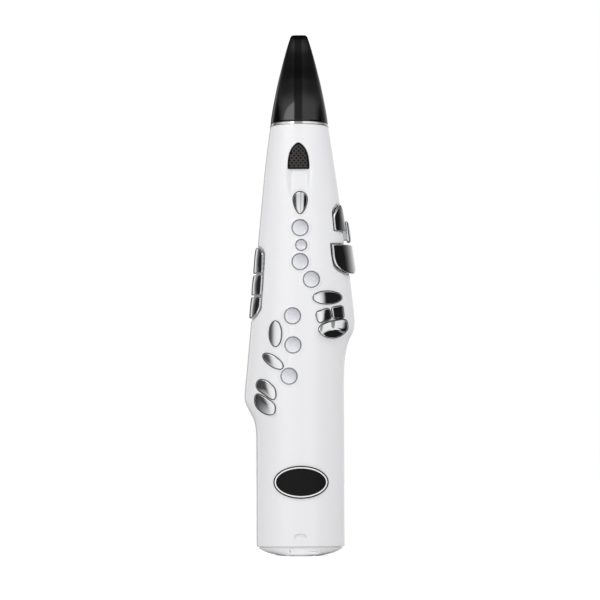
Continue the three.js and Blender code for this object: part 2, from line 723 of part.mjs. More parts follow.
function grilleCutters() {
  const seat = widened(grilleOutline, FIT_GAP);
  const recess = skinned([
    standing(grillePlace, seat, outsideY),
    standing(grillePlace, seat, (x, z) => recessY(x, z) + grille.thickness + FIT_GAP),
  ]);
  const window = widened(grilleOutline, -grille.ledge);
  const opening = skinned([
    standing(grillePlace, window, recessY),
    standing(grillePlace, window, (x, z) => spineFrontY(z) + backing.depth + OVERRUN),
  ]);
  const trapezoid = (topWidth, footWidth, yAt) =>
    [[-footWidth, 0], [footWidth, 0], [topWidth, scoop.length], [-topWidth, scoop.length]]
      .map(([width, rise]) => {
        const x = grillePlace.x + width / 2;
        const z = scoopFoot + rise;
        return vector(x, yAt(x, z), z);
      });
  const flare = (scoop.width - scoop.floorWidth) * (OVERRUN / grille.depth);
  const channel = skinned([
    trapezoid(scoop.width + flare, scoop.footWidth, outsideY),
    trapezoid(scoop.floorWidth, scoop.footWidth, scoopY),
  ]);
  return [recess, opening, channel];
}

function breathGrille() {
  const plate = skinned([
    standing(grillePlace, grilleOutline, recessY),
    standing(grillePlace, grilleOutline, (x, z) => recessY(x, z) + grille.thickness),
  ]);
  const holes = [];
  const rows = Math.floor(grille.height / grille.holePitch);
  const border = grille.ledge + grille.holeRadius;
  for (let row = -rows; row <= rows; row++) {
    for (let column = -rows; column <= rows; column++) {
      const shift = row % 2 === 0 ? 0 : grille.holePitch / 2;
      const x = column * grille.holePitch + shift;
      const y = (row * grille.holePitch * Math.sqrt(3)) / 2;
      if (!isInside(grilleOutline, x, y, border)) continue;
      const z = grillePlace.z + y;
      const middleY = recessY(x, z);
      holes.push(
        rod(
          grille.holeRadius, vector(grillePlace.x + x, middleY - OVERRUN, z),
          vector(grillePlace.x + x, middleY + OVERRUN, z), grille.holeSides
        )
      );
    }
  }
  return cutBy(plate, holes);
}

// Whether a place is inside an outline that bulges all round, clear of its edge by a margin.
function isInside(outline, x, y, margin) {
  const turn = Math.sign(THREE.ShapeUtils.area(outline));
  return outline.every((point, i) => {
    const edge = outline[(i + 1) % outline.length].clone().sub(point);
    const reach = new THREE.Vector2(x, y).sub(point);
    return turn * edge.cross(reach) >= margin * edge.length();
  });
}

// The oval badge, which follows the front of the tube, and the small notch above the rim

const badge = { halfWidth: 27.6, halfHeight: 16.4, thickness: 1.3, edge: 0.6, zShare: 0.1534 };
const BADGE_SIDES = 22;
const badgeRingShares = [0.35, 0.7];
const notch = { width: 13, height: 6.8, depth: 1.7, radius: 1.5, zShare: 0.0226 };

function badgePlate() {
  const place = placeAt([0.014, badge.zShare]);
  const outline = ellipse(badge.halfWidth, badge.halfHeight, BADGE_SIDES);
  const over = (points, height) =>
    standing(place, points, (x, z) => surfaceY(FRONT, x, z, height));
  const top = FIT_GAP + badge.thickness;
  return skinned([
    ...badgeRingShares.map((share) => over(scaled(outline, share), FIT_GAP)),
    over(outline, FIT_GAP),
    over(outline, top - badge.edge),
    over(widened(outline, -badge.edge), top),
    ...badgeRingShares.toReversed().map((share) => over(scaled(outline, share), top)),
  ]);
}

function notchCutter() {
  const place = placeAt([0, notch.zShare]);
  const outline = bar(notch.width, notch.height, notch.radius);
  return skinned([
    standing(place, outline, outsideY),
    standing(place, outline, (x, z) => {
      const share = (z - place.z) / notch.height + 1 / 2;
      return surfaceY(FRONT, x, z) + notch.depth * share;
    }),
  ]);
}

// The two shells

const RIM = 1; // the rounding of the shells' lower rim
const rearWall = (x, z, grow = 0) => surfaceY(REAR, x, z, grow);

function bodyShell() {
  const levels = stationShares.map(heightAt);
  const upper = levels.slice(1);
  const outer = skinned([
    bodyRing(CAP_DEPTH, OUTER_SIDES, -RIM),
    bodyRing(CAP_DEPTH + RIM, OUTER_SIDES, 0),
    ...upper.map((z) => bodyRing(z, OUTER_SIDES, 0)),
  ]);
  const inner = skinned([
    bodyRing(CAP_DEPTH - OVERRUN, INNER_SIDES, -WALL),
    ...innerStationShares.map((share) => bodyRing(heightAt(share), INNER_SIDES, -WALL)),
    bodyRing(NECK_Z + OVERRUN, INNER_SIDES, -WALL),
  ]);
  return outer.subtract(inner);
}

const seamShares = [0, 0.52, 0.6, 0.68, 0.76, 0.84, 0.92, 1];

// Everything behind the joint between the shells, which follows the body's lean.
function behindSeam(offset) {
  const far = TUBE_HALF_DEPTH * 2;
  const wide = TUBE_HALF_WIDTH * 2;
  const ring = (z) => {
    const { centre, back } = sectionAt(z);
    const near = centre.clone().addScaledVector(back, SEAM_BACK + offset);
    const away = centre.clone().addScaledVector(back, far);
    return [
      near.clone().setX(-wide), near.clone().setX(wide),
      away.clone().setX(wide), away.clone().setX(-wide),
    ];
  };
  const levels = seamShares.map(heightAt);
  return skinned([CAP_DEPTH - OVERRUN, ...levels, NECK_Z + OVERRUN].map(ring));
}

// Screws that draw the rear shell on to bosses in the front shell

const screw = {
  headRadius: 3, headHeight: 2.4, shaftRadius: 1.5, bite: 9, bossRadius: 5, seat: 4, sides: 10,
};
const screws = [
  { name: 'shell_screw_lower', placeShares: [0, 0.075] },
  { name: 'shell_screw_left', placeShares: [-0.32, 0.872] },
  { name: 'shell_screw_right', placeShares: [0.32, 0.872] },
].map(({ name, placeShares }) => {
  const place = { name, ...placeAt(placeShares) };
  const { centre, back } = sectionAt(place.z);
  const at = (depth) => centre.clone().setX(place.x).addScaledVector(back, depth);
  return { ...place, at };
});
const SCREW_HEAD_AT = SEAM_BACK + screw.seat;

function screwForm({ at }) {
  const head = rod(
    screw.headRadius, at(SCREW_HEAD_AT + FIT_GAP), at(SCREW_HEAD_AT + FIT_GAP + screw.headHeight),
    screw.sides
  );
  const shaft = rod(
    screw.shaftRadius, at(SEAM_BACK - screw.bite), at(SCREW_HEAD_AT + screw.headHeight),
    screw.sides
  );
  return head.add(shaft);
}

// Boards behind the front keys and behind the player's side

const keyBoard = { halfWidth: 20, lobeReach: 42.6, radius: 6 };
const keyBoardSpanShares = [0.305, 0.838];
const leftLobeShares = [0.31, 0.524];
const rightLobeShares = [0.488, 0.607];
const frontStandoffs = [[-0.36, 0.703], [0.4, 0.703], [0.16, 0.5285], [0.16, 0.4285]].map(placeAt);
const mainBoard = { halfWidth: 20, radius: 3 };
const mainBoardSpanShares = [0.12, 0.797];
const rearStandoffs = [[-0.36, 0.147], [0.36, 0.147], [-0.36, 0.53], [0.36, 0.53], [-0.36, 0.78],
  [0.36, 0.78]].map(placeAt);
const standoffRadius = 3;

function boardSlab(centreX, spanShares, halfWidth, radius, fromY) {
  const [low, high] = spanShares.map(heightAt);
  const outline = bar(halfWidth * 2, high - low, radius);
  return prism({ x: centreX, z: (low + high) / 2 }, outline, fromY, fromY + board.thickness);
}

const pressedKeys = [
  ...roundKeys.map((key) => ({ ...key, form: roundForm, side: FRONT, finish: pearl })),
  ...metalKeys.map((key) => ({ ...key, side: FRONT, finish: chrome })),
  ...octaveKeys.map((key) => ({ ...key, form: metalForm, side: REAR, finish: chrome })),
];

function keyBoardForm() {
  const lobe = (side, shares) => {
    const half = keyBoard.lobeReach / 2;
    return boardSlab(side * half, shares, half, keyBoard.radius, board.frontY);
  };
  const slab = boardSlab(
    0, keyBoardSpanShares, keyBoard.halfWidth, keyBoard.radius, board.frontY
  );
  const domes = [...roundKeys, ...metalKeys].map((key) => switchDome(FRONT, key.place));
  return joined([slab, lobe(-1, leftLobeShares), lobe(1, rightLobeShares), ...domes]);
}

// The control panel on the player's side: a flat plate with a display, two buttons and a slider

const panel = { width: 30, height: 66, thickness: 1.4, radius: 4, zShare: 0.2447 };
const display = { width: 24, height: 14, radius: 1, thickness: 1, riseShare: 0.2424 };
const button = { radius: 3.4, spread: 7.5, dropShare: 0.0909, rise: 1, edge: 0.4, sides: 12 };
const slider = {
  width: 5, height: 3, radius: 0.6, travel: 4, dropShare: 0.3333, rise: 1.1, flangeThickness: 1,
};
const panelPlace = placeAt([0, panel.zShare]);
const panelOuterY = rearWall(panel.width / 2, panelPlace.z) - FIT_GAP;
const panelInnerY = panelOuterY - panel.thickness;
const panelSeatY = panelInnerY - FIT_GAP;
const panelOutline = bar(panel.width, panel.height, panel.radius);
const displayPlace = { x: panelPlace.x, z: panelPlace.z + display.riseShare * panel.height };
const displayOutline = bar(display.width, display.height, display.radius);
const buttons = [-1, 1].map((side) => ({
  name: side < 0 ? 'menu_button_left' : 'menu_button_right',
  place: { x: side * button.spread, z: panelPlace.z - button.dropShare * panel.height },
  outline: ellipse(button.radius, button.radius, button.sides),
}));
const sliderPlace = { x: -slider.travel / 2, z: panelPlace.z - slider.dropShare * panel.height };
const sliderSlot = bar(
  slider.width + slider.travel + KEY_GAP * 2, slider.height + KEY_GAP * 2, slider.radius
);

function panelPad() {
  const outline = widened(panelOutline, WALL);
  return skinned([
    standing(panelPlace, outline, (x, z) => rearWall(0, z)),
    standing(panelPlace, outline, () => panelSeatY - WALL),
  ]);
}

function panelCutters() {
  const seat = prism(
    panelPlace, widened(panelOutline, FIT_GAP), panelSeatY, panelOuterY + OVERRUN
  );
  const bores = buttons.map(({ place, outline }) =>
    prism(place, widened(outline, KEY_GAP + flange.width), panelSeatY - OVERRUN, panelSeatY + OVERRUN)
  );
  const slideway = prism(
    { x: 0, z: sliderPlace.z }, widened(sliderSlot, flange.width + KEY_GAP),
    panelSeatY - slider.flangeThickness - FIT_GAP, panelSeatY + OVERRUN
  );
  return [seat, ...bores, slideway];
}

function controlPanel() {
  const plate = prism(panelPlace, panelOutline, panelInnerY, panelOuterY);
  const displaySeat = prism(
    displayPlace, widened(displayOutline, FIT_GAP), panelOuterY - display.thickness,
    panelOuterY + OVERRUN
  );
  const bores = buttons.map(({ place, outline }) =>
    prism(place, widened(outline, KEY_GAP), panelInnerY - OVERRUN, panelOuterY + OVERRUN)
  );
  const slot = prism(
    { x: 0, z: sliderPlace.z }, sliderSlot, panelInnerY - OVERRUN, panelOuterY + OVERRUN
  );
  return cutBy(plate, [displaySeat, ...bores, slot]);
}

const displayWindow = () =>
  prism(
    displayPlace, displayOutline, panelOuterY - display.thickness + FIT_GAP, panelOuterY
  );

function menuButton({ place, outline }) {
  const at = (points, y) => standing(place, points, () => y);
  const top = panelOuterY + button.rise;
  const collarTop = panelInnerY - FIT_GAP;
  const collar = widened(outline, flange.width);
  const cap = skinned([
    at(collar, collarTop - flange.thickness), at(collar, collarTop), at(outline, collarTop),
    at(outline, top - button.edge), at(widened(outline, -button.edge), top),
  ]);
  const root = vector(place.x, collarTop, place.z);
  return cap.add(rod(post.radius, postFoot(REAR, place), root, post.sides));
}

function powerSlider() {
  const knob = bar(slider.width, slider.height, slider.radius);
  const plateTop = panelInnerY - FIT_GAP;
  const stem = prism(sliderPlace, knob, plateTop - FIT_GAP, panelOuterY + slider.rise);
  const foot = prism(
    sliderPlace, widened(knob, flange.width), plateTop - slider.flangeThickness, plateTop
  );
  return stem.add(foot);
}

function mainBoardForm() {
  const slab = boardSlab(0, mainBoardSpanShares, mainBoard.halfWidth, mainBoard.radius, board.rearY);
  const domes = [...octaveKeys, ...buttons].map((key) => switchDome(REAR, key.place));
  return joined([slab, ...domes]);
}

const battery = { width: 36, depth: 21, height: 62, zShare: 0.215, radius: 4 };
function batteryPack() {
  const outline = bar(battery.width, battery.height, battery.radius);
  const place = placeAt([0, battery.zShare]);
  return prism(place, outline, board.rearY - FIT_GAP - battery.depth, board.rearY - FIT_GAP);
}

// Sockets low on the player's side

const socketZ = heightAt(0.036);
const usb = { x: -12, width: 9, height: 3.4, wall: 0.6, length: 8, radius: 1.2 };
const jack = { x: 12, radius: 4, boreRadius: 1.8, length: 10, sides: 16 };
const socketFaceY = (x) => rearWall(x, socketZ) - FIT_GAP;

function usbSocket() {
  const place = { x: usb.x, z: socketZ };
  const outline = bar(usb.width, usb.height, usb.radius);
  const shell = widened(outline, usb.wall);
  const face = socketFaceY(usb.x);
  return prism(place, shell, face - usb.length, face)
    .subtract(prism(place, outline, face - usb.length + usb.wall, face + OVERRUN));
}

function phoneJack() {
  const face = socketFaceY(jack.x);
  const at = (y) => vector(jack.x, y, socketZ);
  return rod(jack.radius, at(face - jack.length), at(face), jack.sides)
    .subtract(rod(jack.boreRadius, at(face - jack.length + WALL), at(face + OVERRUN), jack.sides));
}

function socketHoles() {
  const outline = bar(usb.width, usb.height, usb.radius);
  const usbHole = prism(
    { x: usb.x, z: socketZ }, widened(outline, usb.wall + FIT_GAP),
    socketFaceY(usb.x) - OVERRUN, socketFaceY(usb.x) + OVERRUN
  );
  const at = (y) => vector(jack.x, y, socketZ);
  const jackHole = rod(
    jack.radius + FIT_GAP, at(socketFaceY(jack.x) - OVERRUN), at(socketFaceY(jack.x) + OVERRUN),
    jack.sides
  );
  return [usbHole, jackHole];
}

// The thumb rest, thumb hook and strap loop

function thumbRestForm() {
  const outline = ellipse(thumbRest.halfWidth, thumbRest.halfHeight, REST_SIDES);
  const over = (points, height) =>
    standing(restPlace, points, (x, z) => rearWall(x, z, height));
  const top = FIT_GAP + thumbRest.thickness;
  return skinned([
    over(scaled(outline, capEdge.innerShare), FIT_GAP),
    over(outline, FIT_GAP),
    over(outline, top - thumbRest.edge),
    over(widened(outline, -thumbRest.edge), top),
    over(scaled(outline, capEdge.innerShare), top - thumbRest.edge),
  ]);
}

const hook = {
  width: 17, thickness: 4, reach: 20, curl: 8, lip: 4, footHeight: 26, footThickness: 3, radius: 1.6,
};
const hookPlace = placeAt([0, 0.47]);
const CURL_STEPS = 4;

function footPlate(place, width, height, thickness) {
  const outline = bar(width, height, hook.radius * 2);
  return skinned([
    standing(place, outline, (x, z) => rearWall(x, z, FIT_GAP)),
    standing(place, outline, (x, z) => rearWall(x, z, FIT_GAP + thickness)),
  ]);
}

function thumbHookForm() {
  const section = bar(hook.width, hook.thickness, hook.radius);
  const start = rearWall(0, hookPlace.z, FIT_GAP + hook.footThickness / 2);
  const ringAt = (y, z, angle) =>
    section.map((point) =>
      vector(point.x, y - point.y * Math.sin(angle), z + point.y * Math.cos(angle))
    );
  const bendY = start + hook.reach;
  const rings = [ringAt(start, hookPlace.z, 0)];
  for (let step = 0; step <= CURL_STEPS; step++) {
    const angle = (-step / CURL_STEPS) * (Math.PI / 2);
    const y = bendY - Math.sin(angle) * hook.curl;
    rings.push(ringAt(y, hookPlace.z - (1 - Math.cos(angle)) * hook.curl, angle));
  }
  const tipY = bendY + hook.curl;
  rings.push(ringAt(tipY, hookPlace.z - hook.curl - hook.lip, -Math.PI / 2));
  return skinned(rings).add(
    footPlate(hookPlace, hook.width, hook.footHeight, hook.footThickness)
  );
}

const loop = { radius: 7, wire: 1.9, wireSides: 6, sides: 14, footWidth: 15, footHeight: 19 };
const loopPlace = placeAt([0, 0.583]);

function strapLoopForm() {
  const ring = new THREE.TorusGeometry(loop.radius, loop.wire, loop.wireSides, loop.sides);
  ring.rotateY(Math.PI / 2);
  const y = rearWall(0, loopPlace.z, FIT_GAP + loop.wire) + loop.radius;
  ring.translate(0, y, loopPlace.z);
  return solid(ring).add(
    footPlate(loopPlace, loop.footWidth, loop.footHeight, hook.footThickness)
  );
}

// The end cap: a plug in the tube, a dark reveal under the rim, a dome and a flat foot

const cap = { plugHeight: 7, revealDepth: 2.6, reveal: 1, foot: 16, footBack: 30, footHeight: 8 };
const domeShares = [[0, 0.38], [0.12, 0.6], [0.35, 0.82], [1, 1]];
const DOME_INSET = 1.6;
const DOME_SIDES = 24;
const FOOT_DRAFT = 1;
const FOOT_INSET = 0.4;

function bottomCap() {
  const revealTop = CAP_DEPTH - FIT_GAP;
  const domeTop = revealTop - cap.reveal;
  const domeRing = ([heightShare, sizeShare]) => {
    const ring = bodyRing(CAP_DEPTH, DOME_SIDES, -DOME_INSET);
    return ring.map((point) => vector(point.x * sizeShare, point.y * sizeShare, domeTop * heightShare));
  };
  const levelRing = (z, grow) =>
    bodyRing(CAP_DEPTH, DOME_SIDES, grow).map((point) => point.setZ(z));
  const dome = skinned([
    ...domeShares.map(domeRing),
    levelRing(domeTop, -cap.revealDepth - FIT_GAP),
    levelRing(revealTop, -cap.revealDepth - FIT_GAP),
  ]);
  const plug = skinned([
    bodyRing(CAP_DEPTH - FIT_GAP * 2, INNER_SIDES, -WALL - FIT_GAP),
    bodyRing(CAP_DEPTH + cap.plugHeight, INNER_SIDES, -WALL - FIT_GAP),
  ]);
  const well = skinned([
    bodyRing(CAP_DEPTH + WALL, INNER_SIDES, -WALL * 2),
    bodyRing(CAP_DEPTH + cap.plugHeight + OVERRUN, INNER_SIDES, -WALL * 2),
  ]);
  const frontY = surfaceY(FRONT, 0, CAP_DEPTH, -DOME_INSET) + FOOT_INSET;
  const footRing = (z, draft) => [
    vector(-cap.foot + draft, frontY + draft, z), vector(cap.foot - draft, frontY + draft, z),
    vector(cap.foot - draft, cap.footBack, z), vector(-cap.foot + draft, cap.footBack, z),
  ];
  const foot = skinned([footRing(0, FOOT_DRAFT), footRing(cap.footHeight, 0)]);
  return dome.add(foot).add(plug).subtract(well);
}

// The neck, leaning back in its own frame: x across, v towards the player, w up the neck

const neckFrame = new THREE.Matrix4()
  .makeRotationX(-NECK_LEAN)
  .setPosition(sectionAt(NECK_Z).centre);
const neckPoint = (x, v, w) => vector(x, v, w).applyMatrix4(neckFrame);

const neck = { radius: 8.8, boreRadius: 4, height: 24, plate: 3.2, sides: 12 };
const nipple = { radius: 2.6, boreRadius: 1.5, length: 14 };
const collar = { height: 2, holeRadius: 20, proud: 0.3, edge: 0.5 };

function neckRod(radius, fromW, toW, sides = neck.sides) {
  return rod(radius, neckPoint(0, 0, fromW), neckPoint(0, 0, toW), sides);
}

function neckPlug() {
  const plate = skinned([
    bodyRing(NECK_Z - FIT_GAP - neck.plate, INNER_SIDES, -WALL - FIT_GAP),
    bodyRing(NECK_Z - FIT_GAP, INNER_SIDES, -WALL - FIT_GAP),
  ]);
  const tube = neckRod(neck.radius, -neck.plate / 2, neck.height);
  const tail = neckRod(nipple.radius, -nipple.length, -neck.plate / 2);
  const bore = neckRod(neck.boreRadius, 0, neck.height + OVERRUN);
  const drain = neckRod(nipple.boreRadius, -nipple.length - OVERRUN, neck.height / 2);
  return cutBy(joined([plate, tube, tail]), [bore, drain]);
}

// A closed ring of the neck's outline at a height, in the neck's own frame.
function neckRing(halfWidth, front, back, w, sides) {
  const middle = (front + back) / 2;
  const half = (back - front) / 2;
  const bent = (value) => Math.sign(value) * Math.abs(value) ** (2 / SECTION_POWER);
  return Array.from({ length: sides }, (_, i) => {
    const angle = (i / sides) * Math.PI * 2;
    const v = middle - bent(Math.cos(angle)) * half;
    return neckPoint(bent(Math.sin(angle)) * halfWidth, v, w);
  });
}

function collarRing() {
  const end = sectionAt(NECK_Z, collar.proud);
  const outer = (grow, w) =>
    neckRing(end.right + grow, -end.front - grow, end.rear + grow, w, DOME_SIDES);
  const hole = (w) =>
    neckRing(collar.holeRadius, -collar.holeRadius, collar.holeRadius, w, DOME_SIDES);
  const low = FIT_GAP;
  const high = FIT_GAP + collar.height;
  return skinned(
    [
      outer(-collar.edge, low), outer(0, (low + high) / 2), outer(-collar.edge, high), hole(high),
      hole(low),
    ],
    true
  );
}

// The mouthpiece: a beak that tapers from the collar's outline, pushed on to the neck

const mouth = {
  length: 90.5, halfWidth: 28.7, frontDepth: 26, backDepth: 26, boreRadius: 4.5, chamberWidth: 9,
  sides: 20, tableWidth: 20, reedWidth: 13, reedHeel: 3, reedTip: 0.7, reedShoulderShare: 0.6,
};
const mouthBase = FIT_GAP * 2 + collar.height;
const mouthShares = [
  [0, 1], [0.05, 0.985], [0.17, 0.925], [0.31, 0.842], [0.45, 0.75], [0.59, 0.643], [0.72, 0.543],
  [0.84, 0.448], [0.93, 0.368], [0.985, 0.29], [1, 0.2],
];
const mouthFrontShares = smoothCurve([
  [0, 1], [0.2, 0.86], [0.45, 0.54], [0.65, 0.25], [0.8, 0.04], [0.95, -0.15], [1, -0.23],
]);
const mouthBackShares = smoothCurve([
  [0, 1], [0.15, 0.93], [0.3, 0.84], [0.45, 0.73], [0.6, 0.62], [0.8, 0.48], [1, 0.35],
]);
const tableShares = [[0.45, 0.673], [0.7, 0.5115], [1, 0.262], [1.012, 0.262]];
const reedSpanShares = [0.47, 0.985];
const reedSlopeShares = [0.673, 0.319];
const chamberShares = [0.62, 0.965];
const chamberFloorShare = 0.2;
const upMouth = (share) => mouthBase + share * mouth.length;

function mouthpieceForm() {
  const beak = skinned(mouthShares.map(([at, widthShare]) =>
    neckRing(
      mouth.halfWidth * widthShare, -mouthFrontShares(at) * mouth.frontDepth,
      mouthBackShares(at) * mouth.backDepth, upMouth(at), mouth.sides
    )
  ));
  const socket = neckRod(neck.radius + FIT_GAP, -OVERRUN, neck.height + FIT_GAP * 2);
  const bore = neckRod(
    mouth.boreRadius, neck.height, upMouth(chamberShares[0]) + mouth.boreRadius, METAL_SIDES
  );
  const boxRing = (halfWidth, front, back, w) => [
    neckPoint(-halfWidth, front, w), neckPoint(halfWidth, front, w),
    neckPoint(halfWidth, back, w), neckPoint(-halfWidth, back, w),
  ];
  const tableCut = skinned(tableShares.map(([at, depthShare]) => {
    const v = depthShare * mouth.backDepth;
    return boxRing(mouth.tableWidth, v, v + mouth.backDepth, upMouth(at));
  }));
  const [chamberLow, chamberHigh] = chamberShares;
  const chamber = skinned([
    boxRing(mouth.chamberWidth / 2, -mouth.boreRadius, mouth.backDepth, upMouth(chamberLow)),
    boxRing(
      mouth.chamberWidth / 2, chamberFloorShare * mouth.backDepth, mouth.backDepth,
      upMouth(chamberHigh)
    ),
  ]);
  return cutBy(beak, [socket, bore, tableCut, chamber]);
}

// The reed lies on the table behind the beak, thick at its heel and thin at its tip.
const REED_STEPS = 5;
function reedForm() {
  const [low, high] = reedSpanShares;
  const rings = [];
  for (let step = 0; step <= REED_STEPS; step++) {
    const along = step / REED_STEPS;
    const at = between(low, high, along);
    const slope = (at - tableShares[0][0]) / (1 - tableShares[0][0]);
    const face = between(reedSlopeShares[0], reedSlopeShares[1], slope) * mouth.backDepth + FIT_GAP;
    const thickness = between(mouth.reedHeel, mouth.reedTip, along ** 2);
    const half = mouth.reedWidth / 2;
    const shoulder = face + thickness * mouth.reedShoulderShare;
    rings.push([
      neckPoint(-half, face, upMouth(at)), neckPoint(half, face, upMouth(at)),
      neckPoint(half, shoulder, upMouth(at)),
      neckPoint(half / 2, face + thickness, upMouth(at)),
      neckPoint(-half / 2, face + thickness, upMouth(at)),
      neckPoint(-half, shoulder, upMouth(at)),
    ]);
  }
  return skinned(rings);
}

// Breath sensor and its air tube

const sensor = { width: 15, depth: 9, height: 12, zShare: 0.76, spoutRadius: 2.2, spoutHeight: 9 };
const hose = { boreRadius: 3.3, radius: 4.2, overlap: 7, sides: 6, steps: 8 };
const sensorPlace = placeAt([0, sensor.zShare]);
const sensorFaceY = board.rearY - FIT_GAP;
const sensorMiddle = vector(0, sensorFaceY - sensor.depth / 2, sensorPlace.z + sensor.height / 2);
const spoutTop = sensorMiddle.clone().setZ(sensorMiddle.z + sensor.spoutHeight);

function breathSensor() {
  const half = sensor.width / 2;
  const body = block(
    vector(-half, sensorFaceY - sensor.depth, sensorPlace.z - sensor.height / 2),
    vector(half, sensorFaceY, sensorPlace.z + sensor.height / 2)
  );
  const root = sensorMiddle.clone().setZ(sensorMiddle.z - FIT_GAP);
  const spout = rod(sensor.spoutRadius, root, spoutTop, hose.sides);
  return body.add(spout).subtract(
    rod(sensor.spoutRadius / 2, root, spoutTop.clone().setZ(spoutTop.z + OVERRUN), hose.sides)
  );
}

function airTube() {
  const start = spoutTop.clone().setZ(spoutTop.z - hose.overlap);
  const end = neckPoint(0, 0, -nipple.length + hose.overlap);
  const nippleEnd = neckPoint(0, 0, -nipple.length);
  const path = new THREE.CatmullRomCurve3([start, spoutTop, nippleEnd, end]);
  const rings = (radius) =>
    Array.from({ length: hose.steps + 1 }, (_, i) => {
      const share = i / hose.steps;
      const at = path.getPointAt(share);
      const along = path.getTangentAt(share);
      const side = vector(1, 0, 0);
      const up = side.clone().cross(along);
      return ellipse(radius, radius, hose.sides).map((point) =>
        at.clone().addScaledVector(side, point.x).addScaledVector(up, point.y)
      );
    });
  return skinned([...rings(hose.radius), ...rings(hose.boreRadius).reverse()], true);
}

// Putting the shells together

function frontShell() {
  const wall = bodyShell().subtract(behindSeam(-FIT_GAP / 2));
  const standoffs = frontStandoffs.map((place) =>
    rod(
      standoffRadius, vector(place.x, surfaceY(FRONT, place.x, place.z), place.z),
      vector(place.x, board.frontY - FIT_GAP, place.z), dome.sides
    )
  );
  const bosses = screws.map(({ at }) =>
    rod(screw.bossRadius, at(SEAM_BACK - FIT_GAP / 2), at(-TUBE_HALF_DEPTH), screw.sides)
  );
  const screwBores = screws.map(({ at }) =>
    rod(screw.shaftRadius + FIT_GAP, at(SEAM_BACK - screw.bite - FIT_GAP), at(SEAM_BACK + OVERRUN),
      screw.sides)
  );
  const whole = joined([
    wall,
    ...inWall([
      grilleBacking(), pocketBacking(sidePocketShares), pocketBacking(palmPocketShares),
      ...standoffs, ...bosses, ...wrapKeys.map(wrapGuide),
    ]),
  ]);
  return cutBy(whole, [
    ...roundKeys.map(roundHole),
    ...metalKeys.map((key) => keyHole(FRONT, key.place, key.outline)),
    ...wrapKeys.map(wrapBore),
    flankPocket(sidePocketShares),
    flankPocket(palmPocketShares),
    ...grilleCutters(),
    ...screwBores,
    notchCutter(),
  ]);
}

// What stands on the inside of the wall, trimmed off within the wall's thickness.
function inWall(solids) {
  const core = skinned(stationShares.map((share) => bodyRing(heightAt(share), OUTER_SIDES, -WALL / 2)));
  return solids.map((one) => one.intersect(core));
}

function rearShell() {
  const wall = bodyShell().intersect(behindSeam(FIT_GAP / 2));
  const standoffs = rearStandoffs.map((place) =>
    rod(
      standoffRadius, vector(place.x, rearWall(place.x, place.z), place.z),
      vector(place.x, board.rearY + board.thickness + FIT_GAP, place.z), dome.sides
    )
  );
  const bosses = screws.map(({ at }) =>
    rod(screw.bossRadius, at(SEAM_BACK + FIT_GAP / 2), at(TUBE_HALF_DEPTH), screw.sides)
  );
  const headBores = screws.map(({ at }) =>
    rod(screw.headRadius + FIT_GAP, at(SCREW_HEAD_AT), at(TUBE_HALF_DEPTH + OVERRUN), screw.sides)
  );
  const shaftBores = screws.map(({ at }) =>
    rod(screw.shaftRadius + FIT_GAP, at(0), at(TUBE_HALF_DEPTH), screw.sides)
  );
  const whole = joined([wall, ...inWall([panelPad(), ...standoffs, ...bosses])]);
  return cutBy(whole, [
    ...octaveKeys.map((key) => keyHole(REAR, key.place, key.outline)),
    ...panelCutters(),
    ...socketHoles(),
    ...headBores,
    ...shaftBores,
  ]);
}

// The instrument

const instrument = new THREE.Group();
instrument.name = 'digital_wind_controller';
instrument.add(
  piece('front_shell', frontShell(), glossWhite),
  piece('rear_shell', rearShell(), glossWhite),
  piece('bottom_cap', bottomCap(), capWhite),
  piece('collar_ring', collarRing(), chrome),
  piece('neck_plug', neckPlug(), satinBlack),
  piece('breath_grille', breathGrille(), meshBlack),
  piece('badge_plate', badgePlate(), satinBlack),
  piece('key_board', keyBoardForm(), boardGreen),
  piece('main_board', mainBoardForm(), boardGreen),
  piece('palm_key_switches', flankSwitches(palmKeys), switchBlack),
  piece('side_key_switches', flankSwitches(sideKeys), switchBlack),
  piece('battery_pack', batteryPack(), cellBlue),
  piece('breath_sensor', breathSensor(), switchBlack),
  piece('air_tube', airTube(), tubeClear),
  piece('control_panel', controlPanel(), satinBlack),
  piece('display_window', displayWindow(), smokedGlass),
  piece('thumb_rest', thumbRestForm(), rubberBlack),
  piece('thumb_hook', thumbHookForm(), satinBlack),
  piece('strap_loop', strapLoopForm(), chrome),
  piece('usb_socket', usbSocket(), steel),
  piece('phone_jack', phoneJack(), steel),
  piece('power_slider', powerSlider(), satinBlack),
  piece('mouthpiece', mouthpieceForm(), glossBlack),
  piece('reed', reedForm(), satinBlack)
);
for (const key of roundKeys) {
  instrument.add(piece(key.name.replace('key', 'bezel'), roundBezel(key), chrome));
}
for (const key of pressedKeys) {
  instrument.add(piece(key.name, pressedKey(key.side, key.place, key.outline, key.form), key.finish));
}
for (const key of wrapKeys) instrument.add(piece(key.name, wrapKeyForm(key), chrome));
for (const key of buttons) instrument.add(piece(key.name, menuButton(key), rubberBlack));
for (const place of screws) instrument.add(piece(place.name, screwForm(place), steel));

export default instrument;
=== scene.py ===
# %% [markdown]
# # A digital wind controller, from plain meshes to a studio picture
# The object is an electronic wind instrument that is held and fingered like a small saxophone. A
# glossy white body, moulded in two shells, carries chrome and pearl keys. A black beaked
# mouthpiece sits on a chrome collar at the top, and a pale cap closes the tube at the bottom.
# A packed CAD model gives each piece its place and says what moves. Here every piece that can be
# seen is built again, finer, in the same place. Lengths are in millimetres up to the last step.

# %% Load the packed model
import json
import math

import bmesh
import bpy
import numpy as np
from mathutils import Matrix, Vector


